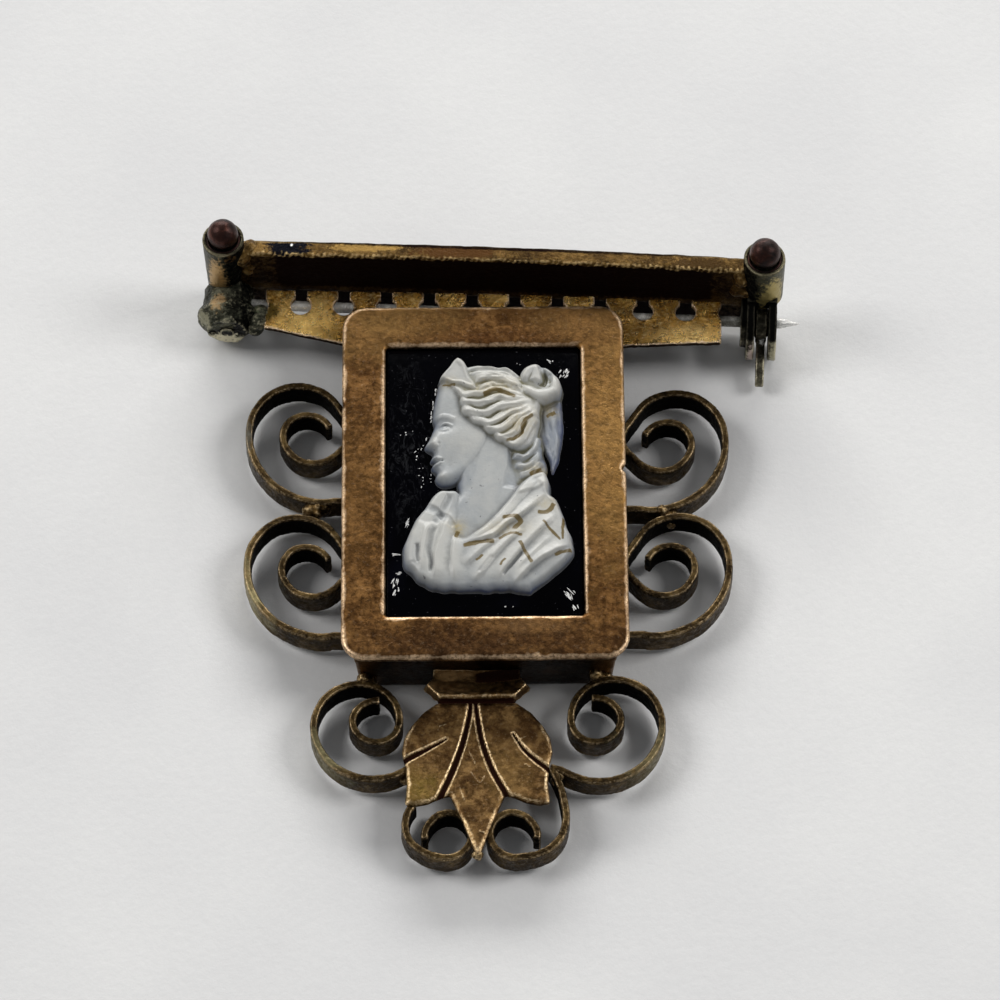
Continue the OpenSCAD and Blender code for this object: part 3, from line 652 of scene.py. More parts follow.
def makeFrontPlate():
    halfWidth, halfHeight, top = case["width"] / 2, case["plateHeight"] / 2, case["face"]
    plate = addBox((-halfWidth, -halfHeight, top - case["thick"]), (halfWidth, halfHeight, top))
    ends = readPoints(plate)[[list(edge.vertices) for edge in plate.data.edges]]
    startEditOn(plate, "EDGE", abs(ends[:, 0, 2] - ends[:, 1, 2]) > 0.1)
    bpy.ops.mesh.bevel(offset=case["cornerRadius"], segments=10)
    endEdit()
    halfOpening, halfTall = case["openingWidth"] / 2, case["openingHeight"] / 2
    cutAway(plate, addBox((-halfOpening, -halfTall, top - 2), (halfOpening, halfTall, top + 1)))
    roundEdges(plate, case["edgeRound"])
    fuseSkin(plate, case["voxel"])
    roughen(plate, case["plateGrain"])
    points = readPoints(plate)
    for x, y, radius, depth in case["dents"]:
        gap = np.hypot(points[:, 0] - x, points[:, 1] - y)
        near = 1 - smoothStep(gap, 0, radius)
        points[:, 2] -= near * depth * (points[:, 2] > top - 0.3)
        points[:, 0] -= near * depth * np.sign(x) * (abs(x) > halfWidth - 0.5)
    writePoints(plate, points)
    return finishPiece(plate, "frontPlate", plateMetal)


def makeCaseBox():
    top = case["face"] - case["thick"]
    (halfX, halfY), (lowX, lowY) = caseHalf(top), caseHalf(0)
    box = addBox((-halfX, -halfY, 0), (halfX, halfY, top + 0.1))
    for vertex in box.data.vertices:
        if vertex.co.z < 1:
            vertex.co.x *= lowX / halfX
            vertex.co.y *= lowY / halfY
    innerX, innerY = halfX - case["wall"], halfY - case["wall"]
    cutAway(box, addBox((-innerX, -innerY, case["hollowFloor"]), (innerX, innerY, top + 2)))
    roundEdges(box, case["boxRound"])
    fuseSkin(box, case["boxVoxel"])
    roughen(box, case["boxGrain"])
    # painted shade: the box darkens towards the top, under the front plate's overhang
    return finishPiece(box, "caseBox", wallMetal,
                       dark=lambda points, normals: 0.25 + 0.3 * smoothStep(points[:, 2], 3.0, 4.8))


makeFrontPlate()
makeCaseBox()
print("case ready")

# Top bar with its two posts
bar = {
    "shift": 0.8, "rise": 16.8, "skew": 2.9, "span": 37.46, "front": -0.605, "thick": 1.2, "low": 2.75,
    "top": 7.15, "edgeRound": 0.14, "bow": 0.25, "voxel": 0.12, "grain": [(1.3, 0.10), (0.4, 0.03)],
    "skirtLeft": -18.3, "skirtRight": 17.6, "skirtLow": 0.5,
    "lipShake": (5, 0.7, 0.045),  # seed, size, depth
    "postRadius": 1.45, "mouth": 8.15, "cupRadius": 1.19, "cupDepth": 0.5, "postRound": 0.07,
    "postVoxel": 0.075, "postGrain": [(0.9, 0.07)],
    # name, side, height and radius of the foot
    "posts": [("postLeft", -1, 1.3, 1.2), ("postRight", 1, 3.6, 1.4)],
}


def barPlace(skew):
    return Matrix.Translation((bar["shift"], bar["rise"], 0)) @ Matrix.Rotation(math.radians(-skew), 4, "Z")


def makeBar():
    half = bar["span"] / 2
    rail = addBox((-half, bar["front"], bar["low"]), (half, bar["front"] + bar["thick"], bar["top"]))
    # the skirt is a dark wall under the bar behind the strip, standing in for the shade seen through the
    # keyholes
    skirt = addBox((bar["skirtLeft"], bar["front"] + 0.05, bar["skirtLow"]),
                   (bar["skirtRight"], bar["front"] + 0.4, bar["low"] + 0.5))
    roundEdges(rail, bar["edgeRound"])
    joinPieces(rail, skirt)
    fuseSkin(rail, bar["voxel"], 1)
    roughen(rail, bar["grain"])
    points = readPoints(rail)
    bowed = (1 - (points[:, 0] / half) ** 2) * smoothStep(points[:, 2], bar["low"], bar["low"] + 1)
    points[:, 1] += bar["bow"] * bowed
    lip = smoothStep(-points[:, 1], 0.1, 0.4) * smoothStep(points[:, 2], bar["top"] - 0.5, bar["top"] - 0.1)
    points += (shaken(points, *bar["lipShake"]) - points) * lip[:, None]
    writePoints(rail, points)
    nearFace, farFace = bar["front"] + bar["bow"] + 0.1, bar["front"] + bar["thick"]

    # painted shade: the near face is darkened, less low down and at the ends, and the back face too, over a
    # little even darkening
    def sootAndShade(points, normals):
        back = barPlace(bar["skew"]).inverted()
        local = points @ np.array(back.to_3x3()).T + np.array(back.translation)
        along, across, height = local.T
        near = smoothStep(-across, -nearFace - 0.25, -nearFace + 0.05)
        low = smoothStep(bar["low"] + 0.9 - height, 0, 0.5) * (1 - smoothStep(bar["low"] - height, -0.1, 0.3))
        far = 0.75 * smoothStep(across, farFace - 0.2, farFace)
        ends = smoothStep(abs(along), 14.4, 15.4)
        near *= (1.0 - 0.5 * low) * (1.0 - 0.45 * ends) * smoothStep(bar["top"] - height, 0.12, 0.35)
        return np.maximum(near, far) + 0.1

    moveBy(rail, barPlace(bar["skew"]))
    return finishPiece(rail, "topBar", barMetal, dark=sootAndShade)


def makePost(name, side, foot, footRadius):
    x = side * bar["span"] / 2
    clearPick()
    bpy.ops.mesh.primitive_cone_add(vertices=72, radius1=footRadius, radius2=bar["postRadius"],
                                    depth=bar["mouth"] - foot, location=(x, 0, (bar["mouth"] + foot) / 2))
    post = bpy.context.object
    applyPlace(post)
    startEditOn(post, "FACE", facesUp(post))
    bpy.ops.mesh.inset(thickness=bar["postRadius"] - bar["cupRadius"])
    bpy.ops.mesh.extrude_region_move(TRANSFORM_OT_translate={"value": (0, 0, -bar["cupDepth"])})
    endEdit()
    roundEdges(post, bar["postRound"], 2)
    fuseSkin(post, bar["postVoxel"], 1)
    roughen(post, bar["postGrain"])
    moveBy(post, barPlace(bar["skew"]))
    axis = barPlace(bar["skew"]) @ Vector((x, 0, 0))

    # painted shade: each post's inner side and the inside of its cup are darkened
    def sootAndShade(points, normals):
        if side < 0:
            shade = 1 - smoothStep(-normals[:, 0], -0.3, 0.5)
        else:
            shade = smoothStep(-normals[:, 0], -0.1, 0.5)
        within = np.hypot(points[:, 0] - axis.x, points[:, 1] - axis.y) < bar["cupRadius"]
        cup = within & (points[:, 2] > bar["mouth"] - 0.6)
        return np.maximum(0.75 * shade, 0.7 * cup)

    return finishPiece(post, name, postMetal, dark=sootAndShade)


makeBar()
for row in bar["posts"]:
    makePost(*row)
print("bar and posts ready")

# Gallery strip with its row of keyhole cuts
strip = {
    "length": 31.8, "depth": 4.9, "low": 2.62, "thick": 0.48, "topV": -0.505, "skew": 1.7, "pitch": 2.98,
    "count": 10, "holeRadius": 0.71, "neck": 0.78, "reach": 1.25, "edgeRound": 0.06, "voxel": 0.09,
    "waves": [(1.1, 0.18)], "grain": [(0.3, 0.05)],
    # lower edge: place along the strip and depth, as shares
    "edge": [(-1, 0.62), (-0.65, 0.88), (-0.32, 1.0), (0.25, 0.96), (0.61, 0.82), (1, 0.74)],
}


def makeStrip():
    half, top = strip["length"] / 2, strip["topV"]
    outline = [(half, top), (-half, top)] + [(p * half, top - d * strip["depth"]) for p, d in strip["edge"]]
    sheet = addPrism(outline, strip["low"], strip["low"] + strip["thick"])
    keyhole = keyholeOutline(strip["holeRadius"], strip["neck"], strip["reach"] + 1)
    cutters = []
    for i in range(strip["count"] + 2):
        x, y = (i - (strip["count"] + 1) / 2) * strip["pitch"], top - strip["reach"]
        hole = [(x + a, y - b) for a, b in keyhole]
        cutters.append(addPrism(hole, strip["low"] - 1, strip["low"] + strip["thick"] + 1))
    cutAway(sheet, joinPieces(*cutters))
    roundEdges(sheet, strip["edgeRound"], 2)
    fuseSkin(sheet, strip["voxel"], 1)
    roughen(sheet, strip["waves"], "Z")
    roughen(sheet, strip["grain"])
    moveBy(sheet, barPlace(strip["skew"]))
    # painted shade on faces turned down and towards the front, then a painted highlight along the rounded
    # edges
    finishPiece(sheet, "galleryStrip", stripMetal, edgeGain=0.8,
                dark=lambda points, normals: 0.95 * smoothStep(-normals[:, 1] - normals[:, 2], 0.45, 0.85))
    upward = readNormals(sheet)[:, 2]
    brighten(sheet, smoothStep(1 - upward, 0.14, 0.3) * smoothStep(upward, 0.05, 0.3))


makeStrip()
print("gallery strip ready")

# Scrolls and loops: a ribbon on edge, bent to a spiral
ribbon = {
    "thick": 0.5, "low": 0.45, "tall": 1.85, "edgeRound": 0.17, "steps": 8, "baseTail": (0.16, 0.045),
    "voxel": 0.1, "grain": [(1.2, 0.09), (0.3, 0.03)],
    # each spiral: angle and reach
    "side": [(290, 1.24), (255, 1.08), (215, .96), (180, .955), (145, 1.02), (115, 1.03), (80, .91),
             (45, .73), (10, .71), (-25, .56), (-60, .50), (-105, .44), (-145, .40), (-190, .42),
             (-240, .45), (-290, .42), (-330, .39)],
    "base": [(-58, .96), (-90, 1), (-120, 1), (-150, .975), (-180, .94), (-210, .86), (-240, .73),
             (-270, .585), (-300, .46), (-330, .385), (-365, .362), (-420, .375), (-480, .36), (-540, .355),
             (-600, .34), (-640, .35)],
    "loop": [(50, 1.02), (25, .93), (-5, .80), (-35, .64), (-70, .565), (-105, .58), (-140, .60), (-190, .61),
             (-245, .58), (-280, .50), (-320, .43), (-375, .44)],
    "wideLoop": [(66, 1.80), (52, 1.54), (36, 1.29), (15.6, 1.11), (-3, .97), (-17, .85), (-39, .70),
                 (-70, .575), (-105, .58), (-140, .60), (-190, .61), (-245, .58), (-280, .50), (-320, .43),
                 (-375, .44)],
    # name, side of the middle line, eye, radius, rows
    "scrolls": [
        ("scrollUpperLeft", -1, (-12.05, 5.2), 4.3, "side"),
        ("scrollLowerLeft", -1, (-12.05, -5.3), 4.3, "side"),
        ("scrollUpperRight", 1, (12.55, 4.4), 4.3, "side"),
        ("scrollLowerRight", 1, (12.55, -5.4), 4.3, "side"),
        ("baseScrollLeft", -1, (-7.4, -16.85), 4.4, "base"),
        ("baseScrollRight", 1, (7.4, -16.85), 4.7, "base"),
        ("loopLeft", -1, (-2.85, -25.45), 3.0, "loop"),
        ("loopRight", 1, (2.05, -25.45), 3.0, "wideLoop"),
    ],
}


def makeScroll(name, side, eye, radius, kind):
    path = turnPath(ribbon[kind], radius, ribbon["steps"])
    if kind == "side":
        wall = caseHalf(ribbon["low"] + ribbon["tall"])[0] - case["wall"] / 2
        path.insert(0, (abs(eye[0]) - wall, path[0][1]))
    if kind == "base":
        path.insert(0, tuple(a + radius * b for a, b in zip(path[0], ribbon["baseTail"])))
    flip = side if kind in ("loop", "wideLoop") else -side
    clearPick()
    bpy.ops.curve.primitive_nurbs_path_add()
    curve = bpy.context.object
    curve.data.splines.clear()
    spline = curve.data.splines.new("POLY")
    spline.points.add(len(path) - 1)
    for point, (x, y) in zip(spline.points, path):
        point.co = (eye[0] + flip * x, eye[1] + y, 0, 1)
    curve.data.dimensions = "2D"
    curve.data.fill_mode = "NONE"
    curve.data.extrude = ribbon["tall"] / 2
    pick(curve)
    bpy.ops.object.convert(target="MESH")
    band = bpy.context.object
    band.location = (0, 0, ribbon["low"] + ribbon["tall"] / 2)
    applyPlace(band)
    startEdit(band)
    bpy.ops.mesh.remove_doubles(threshold=closeGap)
    bpy.ops.mesh.subdivide(number_cuts=1)
    endEdit()
    applyModifier(band, "SOLIDIFY", thickness=ribbon["thick"], offset=0, use_even_offset=True)
    faceOutward(band)
    roundEdges(band, ribbon["edgeRound"], 3, 50)
    fuseSkin(band, ribbon["voxel"], 1)
    roughen(band, ribbon["grain"])

    # painted shade: the walls below the top edge are darkened, most on the side facing the eye
    def sootAndShade(points, normals):
        toEye = np.array(eye) - points[:, :2]
        toEye /= np.linalg.norm(toEye, axis=1)[:, None] + 1e-9
        inward = (toEye * normals[:, :2]).sum(1)
        deep = smoothStep(ribbon["low"] + ribbon["tall"] - points[:, 2], 0.04, 0.3)
        return deep * (0.62 + 0.32 * inward) + 0.08

    return finishPiece(band, name, ribbonMetal, dark=sootAndShade)


for row in ribbon["scrolls"]:
    makeScroll(*row)
print("scrolls and loops ready")

# Leaf drop and its collar
leaf = {
    "width": 10.1, "length": 11.4, "thick": 0.5, "low": 2.15, "topY": -15.75, "middle": -0.6,
    "edgeRound": 0.12, "voxel": 0.09, "waves": [(1.2, 0.06)], "grain": [(0.35, 0.025)],
    # half outline: reach to the side and down, as shares
    "half": [(.53, 0), (.72, .065), (.87, .15), (.97, .235), (1, .33), (.95, .43), (.935, .54), (.957, .665),
             (.81, .675), (.65, .66), (.49, .625), (.365, .61), (.20, .79), (.05, .975)],
    "veinWidth": 0.24, "veinDepth": 0.24, "rimWidth": 0.36, "rimDrop": 0.08, "rimBright": 0.18,
    # vein: its line and its width at both ends
    "veins": [([(-0.4, 0.2), (-0.5, -0.9), (-0.95, -3.0), (-1.6, -5.0), (-2.6, -7.4)], 0.75, 1.15),
              ([(-0.1, 0.2), (0.0, -0.9), (0.33, -3.0), (1.0, -5.1), (2.0, -7.1)], 0.75, 1.1),
              ([(-2.05, -2.75), (-3.3, -3.5), (-5.2, -4.55)], 0.35, 1.2),
              ([(2.4, -2.4), (3.4, -3.9), (5.4, -5.6)], 0.35, 1.2)],
    "nicks": [[(-0.44, -5.3), (0.15, -6.1), (0.45, -5.6)], [(-0.58, -3.7), (-0.16, -4.6)],
              [(0.1, -9.7), (0.45, -9.8)], [(-2.5, -1.8), (-2.1, -1.7)], [(3.2, -4.7), (3.5, -4.9)],
              [(-1.2, -6.4), (-0.9, -7.3)], [(2.6, -3.0), (3.3, -2.6)]],
    "collarWidth": 6.6, "collarSteps": (64, 40), "collarThick": 0.75, "collarVoxel": 0.1,
    "collarGrain": [(0.8, 0.12)],
    # collar: half width as a share, and place down the collar
    "collarHalf": [(0.90, 0), (0.88, 0.12), (0.90, 0.28), (0.97, 0.40), (1.0, 0.48), (0.95, 0.58),
                   (0.85, 0.72), (0.79, 0.84), (0.76, 1.05)],
    # collar: place down the collar, and dip
    "collarDip": [(0, 0.0), (0.04, 0.0), (0.09, 0.3), (0.2, 0.5), (0.35, 0.55), (0.5, 0.42), (0.62, 0.22),
                  (0.75, 0.02), (0.82, -0.04), (0.87, 0.05), (0.93, 0.5), (1.05, 0.5)],
}


def onLeaf(points):  # places measured from the middle of the leaf's top
    return points[:, :2] - np.array([leaf["middle"], leaf["topY"]])


def veinGaps(local):  # the distance to each vein, and the vein's width there
    for vein, startWidth, endWidth in leaf["veins"]:
        gap, along = lineDistance(local, smoothLine(vein, 8))
        yield gap, leaf["veinWidth"] * (startWidth + (endWidth - startWidth) * along)


def makeLeaf():
    half, middle, topY = leaf["width"] / 2, leaf["middle"], leaf["topY"]
    right = [(middle + p * half, topY - d * leaf["length"]) for p, d in leaf["half"]]
    left = [(middle - p * half, topY - d * leaf["length"]) for p, d in reversed(leaf["half"])]
    outline = right + [(middle, topY - leaf["length"])] + left
    blade = addPrism(outline, leaf["low"], leaf["low"] + leaf["thick"])
    roundEdges(blade, leaf["edgeRound"])
    fuseSkin(blade, leaf["voxel"])
    points = readPoints(blade)
    upper = smoothStep(points[:, 2], leaf["low"] + 0.2, leaf["low"] + leaf["thick"] - 0.05)
    local = onLeaf(points)
    carved = np.zeros(len(points))
    for gap, width in veinGaps(local):
        carved = np.maximum(carved, 1 - smoothStep(gap, width * 0.35, width))
        points[:, 2] += 0.025 * upper * np.exp(-((gap - width * 1.2) / 0.08) ** 2)
    bright = np.zeros(len(points))
    for nick in leaf["nicks"]:
        gap, _ = lineDistance(local, smoothLine(nick, 6))
        points[:, 2] += 0.04 * upper * (1 - smoothStep(gap, 0.02, 0.12))
        bright = np.maximum(bright, 0.6 - 0.6 * smoothStep(gap, 0.03, 0.10))
    # a painted highlight in a band just inside the outline of the lower leaf, added to the nicks' real wear
    rim, _ = lineDistance(points[:, :2], outline + outline[:1])
    below = smoothStep(-local[:, 1], 1.2, 2.2) * (1 - carved)
    below *= 0.65 + 0.35 * np.sin(2.1 * local[:, 0] + 1.2) * np.cos(1.6 * local[:, 1])
    bright = upper * np.maximum(bright, below * (1 - smoothStep(abs(rim - leaf["rimBright"]), 0.03, 0.12)))
    rimFall = leaf["rimDrop"] * (1 - smoothStep(rim, 0.0, leaf["rimWidth"]))
    points[:, 2] -= upper * (leaf["veinDepth"] * carved + rimFall)
    writePoints(blade, points)
    roughen(blade, leaf["waves"], "Z")
    roughen(blade, leaf["grain"])

    # painted shade on faces turned down, and the carved veins darkened
    def sootAndShade(points, normals):
        found = 0.25 * smoothStep(-normals[:, 2], 0.2, 0.8)
        for gap, width in veinGaps(onLeaf(points)):
            found = np.maximum(found, 0.95 * (1 - smoothStep(gap, width * 0.45, width * 0.95)))
        return found

    finishPiece(blade, "leafDrop", leafMetal, dark=sootAndShade)
    brighten(blade, bright)


def makeCollar():
    wallY = -caseHalf(leaf["low"])[1] + case["wall"] / 2
    down = wallY - leaf["topY"]
    across, along = leaf["collarSteps"]
    clearPick()
    bpy.ops.mesh.primitive_grid_add(x_subdivisions=across, y_subdivisions=along, size=1)
    saddle = bpy.context.object
    points = readPoints(saddle)
    share = (0.5 - points[:, 1]) * 1.05
    side = points[:, 0] * 2
    halves, dips = np.array(leaf["collarHalf"]), np.array(leaf["collarDip"])
    halfWidth = np.interp(share, halves[:, 1], halves[:, 0]) * leaf["collarWidth"] / 2
    dip = np.interp(share, dips[:, 0], dips[:, 1])
    points[:, 0] = leaf["middle"] + side * halfWidth
    points[:, 1] = wallY - share * down
    flare = 0.3 * side ** 6 * np.exp(-((share - 0.46) / 0.14) ** 2)
    points[:, 2] = leaf["low"] + leaf["thick"] - dip + 0.1 * side ** 2 + flare
    writePoints(saddle, points)
    applyModifier(saddle, "SOLIDIFY", thickness=leaf["collarThick"], offset=-1)
    faceOutward(saddle)
    fuseSkin(saddle, leaf["collarVoxel"])
    roughen(saddle, leaf["collarGrain"])
    # painted highlight: a thin band along the collar's top rim
    share = (wallY - readPoints(saddle)[:, 1]) / down
    bright = 1 - smoothStep(abs(share - 0.07), 0.0, 0.05)

    # painted shade in the saddle's hollow on its right side and where the lower lip dips to the leaf
    def sootAndShade(points, normals):
        share = (wallY - points[:, 1]) / down
        lean = share + 0.03 * points[:, 0]
        hollow = (1 - smoothStep(abs(lean - 0.25), 0.10, 0.17)) * smoothStep(points[:, 0], -1.3, -0.3)
        groove = smoothStep(share, 0.86, 0.9)
        return np.maximum(hollow, groove) * 0.95

    finishPiece(saddle, "leafCollar", leafMetal, dark=sootAndShade)
    brighten(saddle, bright)


makeLeaf()
makeCollar()
print("leaf and collar ready")

# Stone
stone = {
    "width": 13.2, "height": 21.0, "low": 3.0, "face": 5.0, "slabTop": 4.7, "slabWidth": 16.3,
    "slabHeight": 25.2, "edgeRound": 0.08, "seed": 7,
    # painted glints: pale flakes on the stone's face; place, spread, slant in degrees, count, length
    "glintFlakes": [
        (5.55, 8.55, 0.30, 0.30, 60, 16, 0.22),
        (2.46, 9.37, 0.15, 0.10, 30, 2, 0.12),
        (5.0, 9.5, 0.5, 0.1, -60, 4, 0.18),
        (-5.2, -3.25, 0.10, 0.30, 60, 8, 0.30),
        (-5.95, -5.7, 0.16, 0.08, 5, 4, 0.30),
        (-5.8, -7.1, 0.16, 0.10, 10, 4, 0.30),
        (-6.0, -8.2, 0.22, 0.60, 70, 14, 0.30),
        (5.7, -9.0, 0.38, 0.38, -60, 9, 0.44),
        (6.1, -9.8, 0.2, 0.2, -60, 4, 0.24),
        (-4.4, 2.3, 0.30, 0.60, 60, 6, 0.16),
        (-4.3, 0.4, 0.20, 0.90, 80, 7, 0.12),
        (-5.3, 4.4, 0.50, 0.80, 40, 4, 0.07),
        (-3.27, 7.1, 0.02, 0.30, 80, 4, 0.16),
        (-3.45, 6.1, 0.02, 0.40, 84, 6, 0.20),
        (-3.58, 5.1, 0.02, 0.40, 88, 6, 0.18),
        (-3.9, 3.3, 0.03, 0.25, 70, 3, 0.12),
        (-3.6, 0.3, 0.05, 0.35, 80, 4, 0.10),
        (1.6, -9.75, 0.4, 0.05, 0, 2, 0.08),
    ],
}


def makeStoneMaterial():
    material, tree, shader, place = startMaterial("blackOnyx")
    cloud = noise(tree, place, 0.25, 4, 0.5, 0.5)
    fine = noise(tree, place, 2.2, 6, 0.7)
    colour = ramp(tree, cloud, [(0.3, (1, 1, 2)), (0.6, (2, 2, 5)), (0.75, (6, 7, 15))])
    dust = noise(tree, place, 5.0, 2, 0.5)
    colour = mixed(tree, spread(tree, dust, 0.70, 0.76, 0, 0.4), colour, (100, 100, 104))
    scuff = noise(tree, stretched(tree, place, (1.0, 0.6, 1.0), 35.0), 1.6, 8, 0.8, 1.2)
    scuffs = sums(tree, "MULTIPLY", spread(tree, scuff, 0.52, 0.7, 0, 0.30),
                  patchMask(tree, place, cloud, (-5.0, 2.0, 5.0), (1.6, 6.0, 2.0), 1.3, 0.4))
    colour = mixed(tree, scuffs, colour, (92, 94, 98))
    # the pale flakes are painted glints
    glintFlakeShare = spread(tree, attribute(tree, "dark"), 0.3, 0.7)
    colour = mixed(tree, glintFlakeShare, colour, (228, 228, 226))
    fill(tree, shader, {"Base Color": colour, "Roughness": spread(tree, fine, 0.3, 0.7, 0.04, 0.14),
                        "Specular IOR Level": 0.05,
                        "Normal": bumped(tree, ((1.0, fine), (0.3, dust)), 0.006)})
    return material


def makeStone():
    slabX, slabY = stone["slabWidth"] / 2, stone["slabHeight"] / 2
    slab = addBox((-slabX, -slabY, stone["low"]), (slabX, slabY, stone["slabTop"]))
    halfX, halfY = stone["width"] / 2, stone["height"] / 2
    block = addBox((-halfX, -halfY, stone["slabTop"] - 0.5), (halfX, halfY, stone["face"]))
    applyModifier(slab, "BOOLEAN", object=block, operation="UNION", solver="EXACT")
    bpy.data.objects.remove(block)
    roundEdges(slab, stone["edgeRound"], 2)
    draw = np.random.RandomState(stone["seed"])
    # pale flakes raised on the stone's face, coloured as painted glints
    glintFlakes = []
    for x, y, spreadX, spreadY, slant, count, length in stone["glintFlakes"]:
        for _ in range(count):
            at = (x + spreadX * draw.uniform(-1, 1), y + spreadY * draw.uniform(-1, 1), stone["face"])
            clearPick()
            bpy.ops.mesh.primitive_cone_add(vertices=6, radius1=1, radius2=0.4, depth=1, location=at,
                                            rotation=(0, 0, math.radians(slant + draw.uniform(-18, 18))))
            glintFlake = bpy.context.object
            glintFlake.scale = (length * draw.uniform(0.4, 1.3), draw.uniform(0.03, 0.10), 0.05)
            for vertex in glintFlake.data.vertices:
                vertex.co.x += draw.uniform(-0.4, 0.4)
                vertex.co.y += draw.uniform(-0.3, 0.3)
            applyPlace(glintFlake)
            glintFlakes.append(glintFlake)
    joinPieces(slab, *glintFlakes)
    return finishPiece(slab, "darkStone", makeStoneMaterial(), replaced=("stone",),
                       smooth=35, dark=lambda points, normals: (points[:, 2] > stone["face"] + 0.01) * 1.0)


makeStone()
print("stone ready")

# Solder: lumpy joints between ribbons, case, bar and posts
solder = {
    "voxel": 0.1, "grain": [(0.35, 0.16)],
    # name, spot, spread, lump radius, count
    "joints": [
        ("solderScrollsLeft", (-11.7, -0.45, 1.5), (0.9, 0.35, 0.45), 0.50, 9),
        ("solderScrollsRight", (12.1, -0.95, 1.5), (0.9, 0.3, 0.45), 0.50, 9),
        ("solderUpperLeft", (-8.9, 5.5, 1.4), (0.2, 0.4, 0.4), 0.45, 5),
        ("solderLowerLeft", (-8.9, -5.0, 1.4), (0.2, 0.4, 0.4), 0.45, 5),
        ("solderUpperRight", (9.2, 4.7, 1.4), (0.3, 0.4, 0.4), 0.45, 5),
        ("solderLowerRight", (9.2, -5.1, 1.4), (0.3, 0.4, 0.4), 0.45, 5),
        ("solderBaseLeft", (-7.9, -13.5, 1.6), (0.5, 0.25, 0.4), 0.50, 6),
        ("solderBaseRight", (7.9, -13.5, 1.6), (0.5, 0.25, 0.4), 0.50, 6),
        ("solderLeafLeft", (-5.3, -20.6, 1.6), (0.2, 0.4, 0.3), 0.40, 5),
        ("solderLeafRight", (4.8, -20.9, 1.6), (0.2, 0.4, 0.3), 0.40, 5),
        ("solderLeafTip", (-0.62, -26.98, 2.1), (0.14, 0.25, 0.12), 0.28, 7),
    ],
}


def makeSolder(name, spot, spreadBy, radius, count, material=None, place=None):
    draw = np.random.RandomState(sum(ord(letter) for letter in name))
    lumps = []
    for _ in range(count):
        at = [a + b * draw.uniform(-1, 1) for a, b in zip(spot, spreadBy)]
        clearPick()
        bpy.ops.mesh.primitive_ico_sphere_add(subdivisions=3, radius=radius * draw.uniform(0.7, 1.15),
                                              location=at)
        applyPlace(bpy.context.object)
        lumps.append(bpy.context.object)
    lump = fuseSkin(joinPieces(*lumps), solder["voxel"], 3)
    roughen(lump, solder["grain"])
    if place:
        moveBy(lump, place)
    return finishPiece(lump, name, material or solderMetal, edgeGain=1.2)


for row in solder["joints"]:
    makeSolder(*row)
makeSolder("solderHingeSide", (-15.75, 14.65, 2.15), (0.35, 0.5, 0.5), 0.6, 10, hingeMetal)
for name, x in (("solderPostLeft", -17.25), ("solderPostRight", 17.25)):
    makeSolder(name, (x, -0.1, 5.4), (0.35, 0.4, 1.3), 0.62, 14, barMetal, barPlace(bar["skew"]))
print("solder ready")

# Hinge, pin and catch
pinGear = {
    "pinV": -1.57, "pinZ": 2.2, "hingeU": -18.43, "catchU": 18.73,
    "barrelRadius": 2.15, "barrelBack": 0.505, "barrelFront": 3.86,
    # barrel: radius and height
    "barrelRows": [(0, 0.505), (1.62, 0.505), (1.74, 0.7), (1.76, 1.9), (1.95, 2.25), (2.12, 2.55),
                   (2.15, 2.8), (2.0, 3.1), (1.7, 3.4), (1.35, 3.86), (0, 3.86)],
    "slotHalf": 0.46, "eyeRoom": 1.45, "eyeRadius": 1.3, "eyeThick": 0.8, "eyeBore": 0.45, "rivetRadius": 0.4,
    "slotMouth": [(0, 0.26), (1.7, 0.35), (1.7, -1.7), (-1.02, -1.7), (-0.42, -0.56), (-0.23, 0)],
    "barrelVoxel": 0.085, "barrelGrain": [(1.1, 0.30), (0.5, 0.14)], "rivetVoxel": 0.06,
    "pinRadius": 0.375, "pinStraight": 38.46, "pinPoint": 1.4, "tipRadius": 0.04, "pinVoxel": 0.075,
    "cheekIn": 0.495, "cheekOut": 1.045, "cheekRadius": 2.15, "cheekFront": 0.55, "cheekHole": 1.0,
    "slotWidth": 0.99, "slotReach": 5, "flangeThick": 0.4, "flangeRadius": 1.72,
    "blockTall": 0.9, "blockLow": 3.75, "catchVoxel": 0.075, "catchGrain": [(0.7, 0.09)],
    "rotorRadius": 1.35, "rotorThick": 0.75, "hubRadius": 0.95, "hubEnd": 0.995, "rotorVoxel": 0.07,
    "rotorGrain": [(0.6, 0.06)], "leverLength": 4.6, "leverWidth": 1.0, "leverDroop": 18.0,
}


def hingePlace():  # local Z points out of the barrel's nose, local Y is up
    across = Matrix.Rotation(math.radians(90), 4, "X")
    return barPlace(bar["skew"]) @ Matrix.Translation((pinGear["hingeU"], 0, pinGear["pinZ"])) @ across


def catchPlace():  # local Z runs along the pin, local Y is up
    across = Matrix(((0, 0, 1), (1, 0, 0), (0, 1, 0))).to_4x4()
    middle = Matrix.Translation((pinGear["catchU"], pinGear["pinV"], pinGear["pinZ"]))
    return barPlace(bar["skew"]) @ middle @ across


def cutSlot(obj, radius, low, high):  # the slot that takes the pin
    outline = keyholeOutline(radius, pinGear["slotWidth"], pinGear["slotReach"])
    return cutAway(obj, addPrism(outline, low, high))


